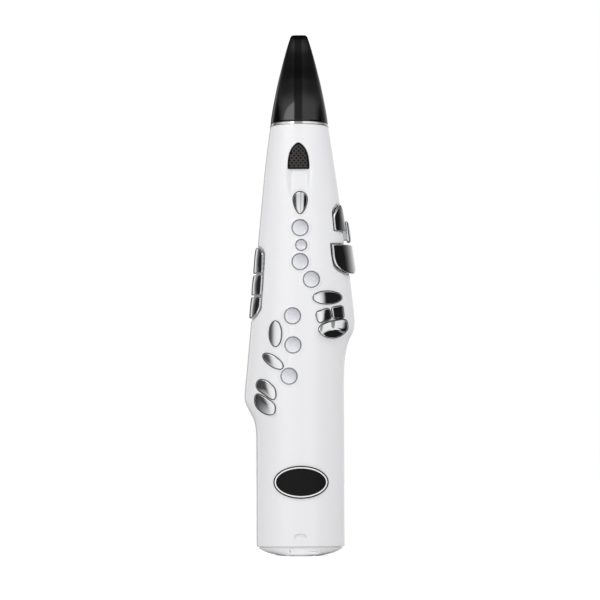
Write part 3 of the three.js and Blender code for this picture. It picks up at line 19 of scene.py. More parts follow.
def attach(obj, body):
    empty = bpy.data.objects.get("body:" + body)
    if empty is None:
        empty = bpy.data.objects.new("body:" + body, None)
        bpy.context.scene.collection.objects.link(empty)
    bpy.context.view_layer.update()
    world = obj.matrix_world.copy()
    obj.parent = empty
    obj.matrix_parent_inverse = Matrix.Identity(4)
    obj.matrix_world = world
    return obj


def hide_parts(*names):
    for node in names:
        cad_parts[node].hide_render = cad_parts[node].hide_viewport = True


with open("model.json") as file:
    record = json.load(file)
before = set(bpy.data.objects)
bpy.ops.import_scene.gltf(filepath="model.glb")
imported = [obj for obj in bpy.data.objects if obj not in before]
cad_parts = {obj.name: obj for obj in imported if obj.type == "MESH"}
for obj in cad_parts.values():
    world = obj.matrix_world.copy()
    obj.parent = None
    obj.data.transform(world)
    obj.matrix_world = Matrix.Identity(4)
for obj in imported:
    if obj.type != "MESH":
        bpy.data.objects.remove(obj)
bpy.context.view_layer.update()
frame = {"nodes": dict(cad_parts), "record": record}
print("pieces in the packed model:", len(frame["nodes"]))

# %% [markdown]
# ## The body's outline
# The body is a round-cornered tube that swells to either side beside the keys of the little
# fingers, and then tapers and leans back towards the player. Such a form is easiest to hold as a
# few curves along its height: half its width to the left and right, half its depth to the front
# and rear, and the arc that its middle line follows. The rows below are a share of the body's
# length and a share of the tube's half size.

# %% Curves along the body
MM = 0.001
BASE_Z, LENGTH = 9.5, 421.0
TUBE_X, TUBE_Y = 44.0, 40.0
WALL, POWER = 2.4, 2.25
LEAN_START, LEAN = 230.0, math.radians(9.6)
TOP_Z = BASE_Z + LENGTH
NECK_Z = TOP_Z - 2.8
LEAN_RADIUS = (TOP_Z - LEAN_START) / math.sin(LEAN)
FRONT, REAR = -1, 1


def eased(share):
    """A share from 0 to 1 that starts and stops softly."""
    return share * share * (3 - 2 * share)


def smooth_curve(rows):
    """A smooth curve through rows of (at, value), level beyond its ends."""
    at, value = np.array(rows, float).T
    before = np.r_[0, 0 : len(at) - 1]
    after = np.r_[1 : len(at), len(at) - 1]
    slopes = (value[after] - value[before]) / (at[after] - at[before])

    def curve(s):
        s = np.clip(np.asarray(s, float), at[0], at[-1])
        i = np.clip(np.searchsorted(at, s, side="right") - 1, 0, len(at) - 2)
        span = at[i + 1] - at[i]
        t = (s - at[i]) / span
        rest = 1 - t
        rise = (1 + 2 * t) * rest**2 * value[i] + t * rest**2 * span * slopes[i]
        return rise + eased(t) * value[i + 1] - t * t * rest * span * slopes[i + 1]

    return curve


print("the spine leans back on an arc of radius", LEAN_RADIUS)

# %% Half sizes of the body
left_half = smooth_curve([
    (0, 1), (0.255, 0.997), (0.278, 1.007), (0.302, 1.054), (0.325, 1.166), (0.345, 1.25),
    (0.362, 1.2595), (0.419, 1.207), (0.49, 1.145), (0.538, 1.102), (0.633, 1.017),
    (0.728, 0.936), (0.823, 0.85), (0.918, 0.758), (1, 0.652),
])
right_half = smooth_curve([
    (0, 1), (0.3, 0.995), (0.38, 0.99), (0.42, 1), (0.443, 1.015), (0.467, 1.053),
    (0.49, 1.116), (0.512, 1.215), (0.533, 1.242), (0.562, 1.221), (0.609, 1.171),
    (0.728, 1.024), (0.823, 0.902), (0.918, 0.77), (1, 0.652),
])
front_half = smooth_curve([
    (0, 1), (0.3, 1), (0.45, 0.98), (0.6, 0.93), (0.73, 0.86), (0.82, 0.79), (0.92, 0.71),
    (1, 0.655),
])
rear_half = smooth_curve([(0, 1), (0.3, 1), (0.5, 0.95), (0.7, 0.87), (0.85, 0.76), (1, 0.655)])
print("widest to the left and right:", left_half(0.362) * TUBE_X, right_half(0.533) * TUBE_X)


# %% Points on the body
def section(z, grow=0.0):
    """Half sizes, lean and middle of the cross-section at a height up the spine."""
    share = (np.asarray(z, float) - BASE_Z) / LENGTH
    lean = np.arcsin(np.maximum(np.asarray(z, float) - LEAN_START, 0) / LEAN_RADIUS)
    return {
        "left": left_half(share) * TUBE_X + grow,
        "right": right_half(share) * TUBE_X + grow,
        "front": front_half(share) * TUBE_Y + grow,
        "rear": rear_half(share) * TUBE_Y + grow,
        "lean": lean,
        "y": LEAN_RADIUS * (1 - np.cos(lean)),
    }


def bent(value):
    """Squares off a circle's sine or cosine a little, as in the tube's section."""
    return np.sign(value) * np.abs(value) ** (2 / POWER)


def body_point(z, angle, grow=0.0):
    """Points on the body. The angle is 0 at the front and grows towards +X."""
    z, angle, grow = np.broadcast_arrays(*(np.asarray(v, float) for v in (z, angle, grow)))
    cut = section(z, grow)
    across, ahead = bent(np.sin(angle)), bent(np.cos(angle))
    x = across * np.where(across < 0, cut["left"], cut["right"])
    depth = -ahead * np.where(ahead > 0, cut["front"], cut["rear"])
    y = cut["y"] + depth * np.cos(cut["lean"])
    return np.stack([x, y, z - depth * np.sin(cut["lean"])], axis=-1)


def surface_y(side, x, z, grow=0.0):
    """The body's Y under points of the front or rear view."""
    x, z, grow = np.broadcast_arrays(*(np.asarray(v, float) for v in (x, z, grow)))
    along = z.copy()
    for _ in range(6):
        cut = section(along, grow)
        reach = np.where(x < 0, cut["left"], cut["right"])
        half = cut["front"] if side == FRONT else cut["rear"]
        ratio = np.minimum(np.abs(x) / reach, 0.985)
        depth = side * half * (1 - ratio**POWER) ** (1 / POWER)
        along = z + depth * np.sin(cut["lean"])
        y = cut["y"] + depth * np.cos(cut["lean"])
    return y


def height_at(share):
    return BASE_Z + share * LENGTH


def place_at(x_share, z_share):
    return x_share * TUBE_X, height_at(z_share)


print("the front of the body at its middle:", float(surface_y(FRONT, 0, height_at(0.5))))

# %% [markdown]
# ## Turning rings of points into solid pieces
# Nearly every piece is skinned over a stack of rings, the way a hull is planked over its frames.
# The mesh is then shaded smooth, with a crease wherever two faces meet at a sharp angle.

# %% Mesh helpers
scene = bpy.context.scene


def skin_faces(rings, count, closed=False, caps=True):
    """Faces over rings that are numbered one after another."""
    faces = []
    for r in range(rings if closed else rings - 1):
        a, b = r * count, ((r + 1) % rings) * count
        for i in range(count):
            j = (i + 1) % count
            faces.append((a + i, a + j, b + j, b + i))
    if caps and not closed:
        faces.append(tuple(range(count))[::-1])
        faces.append(tuple(range((rings - 1) * count, rings * count)))
    return faces


def mesh_object(name, points, faces):
    mesh = bpy.data.meshes.new(name)
    mesh.from_pydata((np.asarray(points).reshape(-1, 3) * MM).tolist(), [], faces)
    work = bmesh.new()
    work.from_mesh(mesh)
    bmesh.ops.recalc_face_normals(work, faces=work.faces)
    work.to_mesh(mesh)
    work.free()
    obj = bpy.data.objects.new(name, mesh)
    scene.collection.objects.link(obj)
    return obj


def skinned(name, rings, closed=False):
    rings = np.asarray(rings, float)
    return mesh_object(name, rings, skin_faces(len(rings), rings.shape[1], closed))


print("a box skinned over two rings has", len(skin_faces(2, 4)), "faces")


# %% Turned solids, cuts and shading
def turned(name, axis, rows, sides=48):
    """A solid of revolution from (distance, radius) rows. axis gives the point at a distance."""
    base = rows[0][0]
    start, end = np.array(axis(base), float), np.array(axis(rows[-1][0]), float)
    along = (end - start) / np.linalg.norm(end - start)
    across = np.cross(along, (0, 0, 1) if abs(along[2]) < 0.9 else (1, 0, 0))
    across /= np.linalg.norm(across)
    other = np.cross(along, across)
    angle = np.linspace(0, 2 * np.pi, sides, endpoint=False)[:, None]
    circle = np.cos(angle) * across + np.sin(angle) * other
    return skinned(name, [start + along * (at - base) + circle * radius for at, radius in rows])


def rounding(radius, degrees):
    """Rows of (inset, drop) for an edge that turns over in a quarter round."""
    turns = np.radians(degrees)
    return [(radius * (1 - math.cos(turn)), radius * (1 - math.sin(turn))) for turn in turns]


def carve(obj, others, operation="DIFFERENCE"):
    """Cuts other solids out of a piece, or joins them to it, and drops the others."""
    for other in others:
        step = obj.modifiers.new("carve", "BOOLEAN")
        step.operation, step.solver, step.object = operation, "MANIFOLD", other
    graph = bpy.context.evaluated_depsgraph_get()
    made = bpy.data.meshes.new_from_object(obj.evaluated_get(graph))
    obj.modifiers.clear()
    obj.data = made
    for other in others:
        bpy.data.objects.remove(other)


def coat_with(obj, finish):
    obj.data.materials.clear()
    obj.data.materials.append(FINISHES[finish])


def finished(obj, slot, node=None, body="body", crease=32):
    """Shades a piece smooth, gives it its finish and its body, and hides the CAD piece it stands
    for.
    """
    obj.data.shade_smooth()
    obj.data.set_sharp_from_angle(angle=math.radians(crease))
    coat_with(obj, slot)
    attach(obj, body)
    if node:
        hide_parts(node)


print("a rounded edge turns over in", len(rounding(1, (30, 60, 90))), "steps")

# %% [markdown]
# ## Finishes
# Each finish is worked out from position alone, so that it stays put when a key moves. The white
# plastic has the faint orange peel of a mould, the chrome has a little cloudiness in its polish,
# and the pearl has a slow swirl of shell laminate laid over painted shade, darker towards its upper
# right. A small class takes up the wiring of nodes.


# %% Wiring helpers
class Wiring:
    """Adds nodes to the tree of a finish and joins them up."""

    def __init__(self, tree):
        self.nodes, self.links = tree.nodes, tree.links

    def feed(self, socket, value):
        """Joins an output to a socket, or sets a plain value on it."""
        if isinstance(value, bpy.types.NodeSocket):
            self.links.new(value, socket)
        else:
            socket.default_value = value

    def add(self, kind, inputs, output=0):
        """Adds a node, feeds its inputs by name and returns one of its outputs."""
        node = self.nodes.new("ShaderNode" + kind)
        for name, value in inputs.items():
            self.feed(node.inputs[name], value)
        return node.outputs[output]

    def math(self, operation, *values):
        node = self.nodes.new("ShaderNodeMath")
        node.operation = operation
        for socket, value in zip(node.inputs, values):
            self.feed(socket, value)
        return node.outputs[0]

    def place(self, kind="Object"):
        return self.add("TexCoord", {}, kind)

    def axes(self, vector):
        node = self.nodes.new("ShaderNodeSeparateXYZ")
        self.feed(node.inputs["Vector"], vector)
        return [node.outputs[axis] for axis in "XYZ"]

    def noise(self, scale, detail=2.0):
        """Soft random values over a piece, by its own coordinates in metres."""
        inputs = {"Vector": self.place(), "Scale": scale, "Detail": detail}
        return self.add("TexNoise", inputs, "Fac")

    def mapped(self, source, low, high, start=0.3, stop=0.7):
        """Maps a value from one range to another."""
        span = {"From Min": start, "From Max": stop, "To Min": low, "To Max": high}
        return self.add("MapRange", {"Value": source} | span, "Result")

    def ramp(self, source, stops):
        """Colours or greys at shares of a range from 0 to 1."""
        node = self.nodes.new("ShaderNodeValToRGB")
        table = node.color_ramp.elements
        for i, (at, colour) in enumerate(stops):
            at = min(at, 1)
            stop = table[i] if i < 2 else table.new(at)
            stop.position = at
            stop.color = (*colour, 1) if isinstance(colour, tuple) else (colour, colour, colour, 1)
        self.feed(node.inputs["Fac"], source)
        return node.outputs["Color"]


print("steps of the wiring:", [step for step in vars(Wiring) if not step.startswith("_")])

# %% Finish helpers
FINISHES = {}
SMOOTH_COAT = 0.04


def new_finish(name, colour, roughness, metallic=0.0, coat=0.0, specular=0.5):
    """A plain glossy or metallic finish under a slot's name: its wiring and its shader's inputs."""
    made = FINISHES[name] = bpy.data.materials.new("finish_" + name)
    made.use_nodes = True
    shader = made.node_tree.nodes["Principled BSDF"].inputs
    values = {"Base Color": (*colour, 1), "Roughness": roughness, "Metallic": metallic}
    values |= {"Coat Weight": coat, "Coat Roughness": SMOOTH_COAT, "Specular IOR Level": specular}
    for socket, value in values.items():
        shader[socket].default_value = value
    return Wiring(made.node_tree), shader


def grained(name, colour, roughness, swing=0.04, scale=300, depth_mm=0.02, **facts):
    """A finish whose polish is a little cloudy, with a fine relief."""
    wiring, shader = new_finish(name, colour, roughness, **facts)
    low = max(roughness - swing, 0.02)
    cloud = wiring.mapped(wiring.noise(scale / 4), low, roughness + swing)
    wiring.feed(shader["Roughness"], cloud)
    relief = {"Height": wiring.noise(scale), "Strength": 0.3, "Distance": depth_mm * MM}
    wiring.feed(shader["Normal"], wiring.add("Bump", relief, "Normal"))
    return wiring, shader


slots = {entry["slot"] for entry in frame["record"]["materials"]}
print("finishes that the record asks for:", len(slots))

# %% Finishes
grained("shell_white", (0.86, 0.86, 0.875), 0.24, swing=0.0, depth_mm=0.002, coat=0.3)
grained("cap_white", (0.9, 0.9, 0.91), 0.4, depth_mm=0.002)
BLACK_GLOSS = {"swing": 0.02, "scale": 500, "depth_mm": 0.004, "specular": 0.68}
grained("mouthpiece_black", (0.0022, 0.0022, 0.0026), 0.1, **BLACK_GLOSS)
grained("satin_black", (0.004, 0.004, 0.0045), 0.4, scale=1500, specular=0.1)
grained("grille_black", (0.028, 0.024, 0.022), 0.32, scale=1500)
grained("rubber_black", (0.011, 0.011, 0.011), 0.7, scale=2500, depth_mm=0.05)
grained("display_glass", (0.006, 0.007, 0.009), 0.06, coat=1.0)
grained("key_chrome", (0.86, 0.865, 0.875), 0.07, swing=0.02, depth_mm=0.004, metallic=1.0)
grained("trim_chrome", (0.9, 0.905, 0.915), 0.12, swing=0.03, depth_mm=0.005, metallic=1.0)
grained("steel", (0.5, 0.5, 0.52), 0.3, metallic=1.0)
grained("board_green", (0.014, 0.105, 0.045), 0.5, scale=900)
grained("switch_black", (0.015, 0.016, 0.018), 0.6, scale=900)
grained("cell_blue", (0.025, 0.08, 0.27), 0.45, scale=900)
grained("tube_clear", (0.66, 0.7, 0.73), 0.35, scale=600)
print("plain finishes:", len(FINISHES))

# %% Pearl and the badge's weave
wiring, shader = grained("pearl", (0.82, 0.815, 0.87), 0.2, coat=0.5, depth_mm=0.004)
# The pearl's colour is painted shade: a grade along a tilted axis runs from light at the lower left
# to dark at the upper right, and a noise swirl of shell laminate is laid over it.
tilt = {"Rotation": (0, math.radians(-35), 0), "Location": (0.1, 0, 0)}
across = wiring.axes(wiring.add("Mapping", {"Vector": wiring.place("Generated")} | tilt))[2]
swirl_and_shade = wiring.math("MULTIPLY_ADD", wiring.noise(260, 4), 0.5, across)
painted_shade_stops = [(0.2, (0.88, 0.88, 0.9)), (0.52, (0.74, 0.74, 0.79)), (0.95, (0.36, 0.36, 0.41))]
wiring.feed(shader["Base Color"], wiring.ramp(wiring.math("MULTIPLY", swirl_and_shade, 0.6), painted_shade_stops))

WEAVE_PITCH = 1.5
wave_number = 2 * math.pi / (WEAVE_PITCH * MM)
wiring, shader = new_finish("badge_weave", (0.01, 0.01, 0.011), 0.3, specular=0.04)
x, _, z = wiring.axes(wiring.place())
threads = []
for way in (1, -1):
    slant = wiring.math("MULTIPLY_ADD", x, way, z)
    threads.append(wiring.math("SINE", wiring.math("MULTIPLY", slant, wave_number)))
shade = wiring.mapped(wiring.math("MULTIPLY", *threads), 0.001, 0.022, -1, 1)
grey = wiring.add("CombineColor", {"Red": shade, "Green": shade, "Blue": shade})
wiring.feed(shader["Base Color"], grey)
print("slots without a finish:", sorted(slots - set(FINISHES)))

# %% [markdown]
# ## Outlines
# Keys, holes and plates are cut to outlines drawn in the front view. A corner is rounded by a
# quadratic curve that starts a little way along each of its two edges.


# %% Outline helpers
def resampled(points, count):
    """Evenly spaced points along a closed outline."""
    loop = np.vstack([points, points[:1]])
    steps = np.r_[0, np.cumsum(np.hypot(*np.diff(loop, axis=0).T))]
    at = np.linspace(0, steps[-1], count, endpoint=False)
    return np.stack([np.interp(at, steps, loop[:, 0]), np.interp(at, steps, loop[:, 1])], 1)


def rounded(shares, width, height, radius, count=96):
    """A polygon given as shares of a width and height, with its corners rounded off."""
    corners = np.array(shares, float) * (width, height)
    curve = np.linspace(0, 1, 17)[:, None]
    points = []
    for i, corner in enumerate(corners):
        ends = []
        for other in (corners[i - 1], corners[(i + 1) % len(corners)]):
            reach = np.linalg.norm(other - corner)
            ends.append(corner + (other - corner) * min(radius, reach / 2) / reach)
        start, end = ends
        points.extend((1 - curve) ** 2 * start + 2 * curve * (1 - curve) * corner + curve**2 * end)
    points = np.array(points)
    keep = np.linalg.norm(points - np.roll(points, 1, axis=0), axis=1) > 1e-6
    return resampled(points[keep], count)


def bar(width, height, radius, count=96):
    """A rectangle with rounded corners."""
    turns = np.radians(np.arange(0, 360, 5))
    turns = np.sort(np.r_[turns, np.radians([90, 180, 270]) - 1e-6])
    half = np.array([width / 2 - radius, height / 2 - radius])
    way = np.stack([np.cos(turns), np.sin(turns)], 1)
    corner = np.stack([
        np.where((turns < np.pi / 2 - 1e-9) | (turns >= 1.5 * np.pi - 1e-9), 1, -1),
        np.where(turns < np.pi - 1e-9, 1, -1),
    ], 1)
    return resampled(corner * half + way * radius, count)


def oval(half_width, half_height, count=96, tilt=0.0):
    angle = np.linspace(0, 2 * np.pi, count, endpoint=False)
    x, y = np.cos(angle) * half_width, np.sin(angle) * half_height
    c, s = math.cos(math.radians(tilt)), math.sin(math.radians(tilt))
    return np.stack([x * c - y * s, x * s + y * c], 1)


def disc(radius):
    return oval(radius, radius)


print("an oval has", len(oval(5, 3)), "points")


# %% Outlines in space
def widened(outline, distance):
    """The outline moved outwards by a distance, or inwards where it is negative."""
    along = np.roll(outline, -1, axis=0) - np.roll(outline, 1, axis=0)
    along /= np.linalg.norm(along, axis=1, keepdims=True)
    after = np.roll(outline, -1, axis=0)
    turn = np.sign(np.sum(outline[:, 0] * after[:, 1] - outline[:, 1] * after[:, 0]))
    return outline + np.stack([along[:, 1], -along[:, 0]], 1) * turn * distance


def standing(place, outline, y):
    """An outline of the front view as points in space. y is a value or a rule over x and z."""
    x, z = outline[:, 0] + place[0], outline[:, 1] + place[1]
    depth = y(x, z) if callable(y) else np.full(len(x), float(y))
    return np.stack([x, depth, z], 1)


def on(side, height):
    """The rule for a height over the front or rear of the body."""
    return lambda x, z: surface_y(side, x, z) + side * height


def over(side, place, outline, height):
    return standing(place, outline, on(side, height))


def layered(name, place, outline, rows, closed=False):
    """A solid over one outline, from rows of (how much wider, y)."""
    return skinned(name, [standing(place, widened(outline, wide), y) for wide, y in rows], closed)


def through(name, place, outline, from_y, to_y):
    return layered(name, place, outline, [(0, from_y), (0, to_y)])


print("a disc widened by 1 is", np.ptp(widened(disc(5), 1)[:, 0]), "wide")

# %% [markdown]
# ## Where the keys are
# Seven pearl touchpieces run down the middle, each in a thin metal ring. The chrome keys beside
# them are the ovals and rounded shapes that the little fingers and the first finger reach.

# %% Keys in the front view
ROUND_KEYS = {
    "b": (0.013, 0.757, 7.5),
    "bis": (0.037, 0.716, 5.0),
    "a": (0.011, 0.6765, 7.5),
    "g": (0.265, 0.6344, 7.5),
    "f": (-0.167, 0.548, 7.5),
    "e": (-0.158, 0.479, 7.5),
    "d": (-0.249, 0.405, 7.5),
}
FRONT_F = [
    (-0.28, 0.47), (0, 0.52), (0.28, 0.47), (0.5, 0.27), (0.46, -0.02), (0.3, -0.32), (0, -0.54),
    (-0.3, -0.32), (-0.46, -0.02), (-0.5, 0.27),
]
LOW_C_SHARP = [(-0.5, 0.2), (0.34, 0.5), (0.5, -0.2), (-0.3, -0.5)]
LOW_B = [(-0.5, 0.36), (0.38, 0.5), (0.48, -0.42), (-0.36, -0.48)]
LOW_B_FLAT = [
    (-0.51, -0.03), (-0.42, 0.2), (-0.12, 0.38), (0.34, 0.5), (0.47, 0.4), (0.5, 0),
    (0.44, -0.14), (0.26, -0.4), (0.01, -0.51), (-0.27, -0.44), (-0.44, -0.25),
]
E_FLAT = [
    (-0.52, 0.17), (-0.45, 0.4), (-0.29, 0.5), (-0.02, 0.44), (0.24, 0.25), (0.45, 0.03),
    (0.49, -0.38), (0.36, -0.53), (0.18, -0.46), (-0.42, -0.03),
]
LOW_C = [
    (-0.5, 0.32), (-0.44, 0.48), (-0.3, 0.5), (-0.08, 0.38), (0.38, 0.09), (0.5, -0.06),
    (0.49, -0.38), (0.36, -0.5), (0.14, -0.51), (-0.14, -0.4), (-0.39, -0.18), (-0.5, 0.06),
]
METAL_KEYS = {
    "key_front_f": (0.015, 0.816, rounded(FRONT_F, 14.3, 21.8, 3.5)),
    "key_g_sharp": (0.629, 0.5912, oval(14.2, 6.3)),
    "key_low_c_sharp": (0.539, 0.5485, rounded(LOW_C_SHARP, 16.4, 15.7, 4)),
    "key_low_b": (0.865, 0.5561, rounded(LOW_B, 12.8, 13.4, 3)),
    "key_low_b_flat": (0.759, 0.5178, rounded(LOW_B_FLAT, 29.3, 18.9, 3)),
    "key_side_f_sharp": (-0.557, 0.5057, oval(6.1, 12.5)),
    "key_trill": (-0.613, 0.4406, oval(11.6, 5, tilt=-34)),
    "key_e_flat": (-0.768, 0.3741, rounded(E_FLAT, 19.8, 20, 3)),
    "key_low_c": (-0.799, 0.3385, rounded(LOW_C, 20.4, 20.5, 3)),
}
REST_PLACE = place_at(0, 0.69)
OCTAVE_KEYS = {"octave_key_upper": 21, "octave_key_lower": -21}
print(len(ROUND_KEYS), "pearl and", len(METAL_KEYS), "chrome keys on the front")

# %% [markdown]
# ## The two shells
# A moulder would make the body as two shells, front and rear, joined behind the middle so that
# the line is out of sight from the front. Each is skinned as a band that goes up the outside of
# the wall and down the inside. The points crowd together where the keys stand on the front.

# %% Pads and scoop
SEAM_BACK, GAP, RIM = 14.0, 0.3, 1.0
PAD_HEIGHT, PAD_MARGIN, PAD_EDGE = 0.6, 2.9, 1.2
BRIDGES, BRIDGE_HALF = (("f", "e"), ("e", "d")), 3.5
SCOOP_X, SCOOP_LOW, SCOOP_HIGH, SCOOP_DEPTH = -0.88, 358, 390.5, 5.4


def pad_height(x, z):
    """The low raised pads that the pearl keys stand on, joined by narrow bridges."""
    nearest = np.full(np.shape(x), 99.0)

    def blend_in(distance, soft):
        nonlocal nearest
        mix = np.clip(0.5 + (nearest - distance) / (2 * soft), 0, 1)
        nearest = nearest * (1 - mix) + distance * mix - soft * mix * (1 - mix)

    spots = {name: np.array(place_at(*shares)) for name, (*shares, _) in ROUND_KEYS.items()}
    for name, (cx, cz) in spots.items():
        blend_in(np.hypot(x - cx, z - cz) - ROUND_KEYS[name][2] - PAD_MARGIN, 1.5)
    for first, second in BRIDGES:
        a, b = spots[first], spots[second]
        along = b - a
        t = np.clip(((x - a[0]) * along[0] + (z - a[1]) * along[1]) / (along @ along), 0, 1)
        off = np.hypot(x - a[0] - t * along[0], z - a[1] - t * along[1])
        blend_in(off - BRIDGE_HALF, 3.0)
    return PAD_HEIGHT * eased(np.clip(0.5 - nearest / PAD_EDGE, 0, 1))


def scoop_depth(x, z):
    """The scoop under the breath outlet: a flat floor that runs out downwards, with soft walls."""
    share = np.clip((z - SCOOP_LOW) / 29, 0, 1)
    reach = np.clip((np.abs(x - SCOOP_X) - 7.75) / (3.0 + 3.4 * share), 0, 1)
    fall = share**0.6 * np.clip((SCOOP_HIGH - z) / 3.5, 0, 1)
    return SCOOP_DEPTH * fall * (1 - (reach + eased(reach)) / 2)


print("pad under the d key:", float(pad_height(*place_at(*ROUND_KEYS["d"][:2]))))


# %% Shell bands
def seam_angle(z, offset):
    """Where the joint between the shells meets the outside."""
    share = np.minimum((SEAM_BACK + offset) / section(z)["rear"], 0.98)
    return np.pi - np.arccos(share ** (POWER / 2))


def shell_band(name, side, heights, turns, thicker):
    """One shell. turns runs from -1 to 1 across it, and thicker deepens the wall in places."""
    z = np.asarray(heights, float)[:, None]
    edge = seam_angle(z, side * GAP / 2)
    angle = turns * edge if side == FRONT else np.pi + turns * (np.pi - edge)
    lift = np.where(z < BASE_Z + RIM, 1 - (z - BASE_Z) / RIM, 0)
    rim = RIM * (np.sqrt(np.maximum(1 - lift**2, 0)) - 1)
    outer = body_point(z, angle, rim)
    if side == FRONT:
        pads = pad_height(outer[..., 0], outer[..., 2]) * (np.abs(angle) < 1.2)
        outer = body_point(z, angle, rim + pads - scoop_depth(outer[..., 0], outer[..., 2]))
    inner = body_point(z, angle, -WALL - thicker(z, angle))
    rings = np.concatenate([outer, inner[:, ::-1]], axis=1)
    rows, count = rings.shape[:2]
    faces = skin_faces(rows, count, caps=False)
    for start in (0, (rows - 1) * count):
        for i in range(count // 2 - 1):
            faces.append((start + i, start + i + 1, start + count - 2 - i, start + count - 1 - i))
    return mesh_object(name, rings, faces)


THICKER = [  # share of the length and its reach, degrees and their reach, extra wall
    (0.624, 0.1, -77, 32, 3.6), (0.727, 0.096, 75, 42, 3.6), (0.905, 0.075, 0, 36, 6.0),
]


def pocket_thicker(z, angle):
    """Extra wall behind the hollows of the flanks and behind the grille's recess."""
    degrees, share = np.degrees(angle), (z - BASE_Z) / LENGTH
    return sum(
        extra * ((np.abs(share - middle) < tall) & (np.abs(degrees - turn) < wide))
        for middle, tall, turn, wide, extra in THICKER
    )


rim_steps = BASE_Z + RIM * (1 - np.cos(np.linspace(0, np.pi / 2, 6)))
low_steps = np.arange(BASE_Z + 2.5, 160, 2.5)
key_steps = np.arange(160, 396, 0.8)
high_steps = np.r_[np.arange(396, NECK_Z - 1, 2.0), NECK_Z]
front_heights = np.r_[rim_steps, low_steps, key_steps, high_steps]
front_turns = np.r_[
    -np.linspace(1, 0.52, 24), np.linspace(-0.5, 0.5, 91), np.linspace(0.52, 1, 24)
]
front_shell = shell_band("front_cover", FRONT, front_heights, front_turns, pocket_thicker)
rear_heights = np.r_[rim_steps, np.arange(BASE_Z + 2.5, NECK_Z - 1, 2.5), NECK_Z]
rear_shell = shell_band(
    "rear_cover", REAR, rear_heights, np.linspace(-1, 1, 81), lambda z, angle: 0 * (z + angle)
)
print("front shell faces:", len(front_shell.data.polygons))

# %% [markdown]
# ## Openings in the front shell
# Every key needs its opening, and a moulded edge is never sharp, so each cutter flares a little
# where it breaks the surface. A pearl key's opening has a step for its metal ring.

# %% Key openings
KEY_GAP, OVERRUN = 0.75, 12.0
PEARL_GAP, RING_WIDTH, RING_DEPTH, RING_PROUD = 0.4, 0.3, 1.2, 0.6


def opening(name, side, place, outline, edge=0.4, depth=None, behind=WALL):
    """A cutter along Y, to a way behind the wall or to a depth, with a rounded lip."""
    wide = widened(outline, KEY_GAP)
    if depth is None:
        inner = surface_y(side, *(wide + place).T, -WALL)
        last = (inner.max() if side == FRONT else inner.min()) - side * behind
        foot = standing(place, wide, last)
    else:
        foot = over(side, place, wide, -depth)
    rings = [foot, over(side, place, wide, -edge)]
    for flare, drop in rounding(edge, (30, 60, 90)):
        rings.append(over(side, place, widened(outline, KEY_GAP + flare), -drop))
    rings.append(over(side, place, widened(outline, KEY_GAP + edge), OVERRUN))
    return skinned(name, rings)


def round_opening(place, radius):
    """A pearl key's opening with the step for its ring."""
    ring = widened(disc(radius + PEARL_GAP + RING_WIDTH), PEARL_GAP - KEY_GAP)
    step = opening("cut_step", FRONT, place, ring, 0.2, RING_DEPTH)
    return [opening("cut_round", FRONT, place, disc(radius), 0.1), step]


cutters = []
for x_share, z_share, radius in ROUND_KEYS.values():
    cutters.extend(round_opening(place_at(x_share, z_share), radius))
for name, (x_share, z_share, outline) in METAL_KEYS.items():
    behind = 8 if name == "key_front_f" else WALL  # the scoop bulges inwards behind this key
    place = place_at(x_share, z_share)
    cutters.append(opening("cut_metal", FRONT, place, outline, 0.2, behind=behind))
print("cutters for the front keys:", len(cutters))

# %% [markdown]
# ## Hollows in the flanks
# The palm keys at the right and the side keys at the left wrap round the body, so each group sits
# in a hollow about three millimetres deep. The rows give the hollow's span in degrees at shares
# of the body's length.

# %% Flank hollows
SIDE_HOLLOW = [
    (0.535, -98, -74), (0.545, -98, -61), (0.5625, -98, -51.5), (0.694, -98, -51.5),
    (0.704, -98, -57), (0.713, -98, -72),
]
PALM_HOLLOW = [
    (0.642, 64, 92), (0.65, 48, 96), (0.66, 41, 106), (0.69, 39, 106), (0.7165, 39, 106),
    (0.719, 77, 106), (0.742, 77, 106), (0.7445, 48, 106), (0.789, 48.5, 106),
    (0.799, 52, 106), (0.811, 64, 84),
]


def flank_hollow(rows, depth=3.0):
    share, start, end = np.array(rows, float).T
    levels = height_at(share)
    heights = np.unique(np.r_[np.arange(levels[0], levels[-1], 1.0), levels])
    at = (heights - BASE_Z) / LENGTH
    start, end = np.interp(at, share, start), np.interp(at, share, end)
    rings = []
    for z, a, b in zip(heights, start, end):
        angles = np.radians(a + (b - a) * np.linspace(0, 1, 25))
        deep, high = body_point(z, angles, -depth), body_point(z, angles, OVERRUN)
        rings.append(np.concatenate([deep, high[::-1]]))
    return skinned("cut_flank", rings)


cutters += [flank_hollow(SIDE_HOLLOW), flank_hollow(PALM_HOLLOW)]
print("cutters with the hollows:", len(cutters))

# %% [markdown]
# ## The breath outlet and the notch
# Breath leaves through a pointed arch below the neck. The arch is a window with a step round it
# for a perforated plate, which leans in towards its foot and meets the scoop below it. Low on the
# front, a small notch gives a fingernail a grip on the end cap.

# %% Openings for the grille and the notch
ARCH = [
    (0, 10.75), (4, 10.7), (9, 10.3), (13, 9.6), (16, 8.85), (19, 7.6), (21.5, 6.1),
    (23.5, 4.4), (25, 2.7), (26, 1.1), (26.3, 0),
]
ARCH_WIDE, ARCH_TALL, ARCH_CORNER = 10.75, 13, 0.9
GRILLE_PLACE = place_at(-0.02, 0.9276)
GRILLE_FOOT, GRILLE_TOP = GRILLE_PLACE[1] - ARCH_TALL, GRILLE_PLACE[1] + ARCH_TALL
NOTCH_PLACE, NOTCH_DEPTH = place_at(0, 0.0226), 1.8


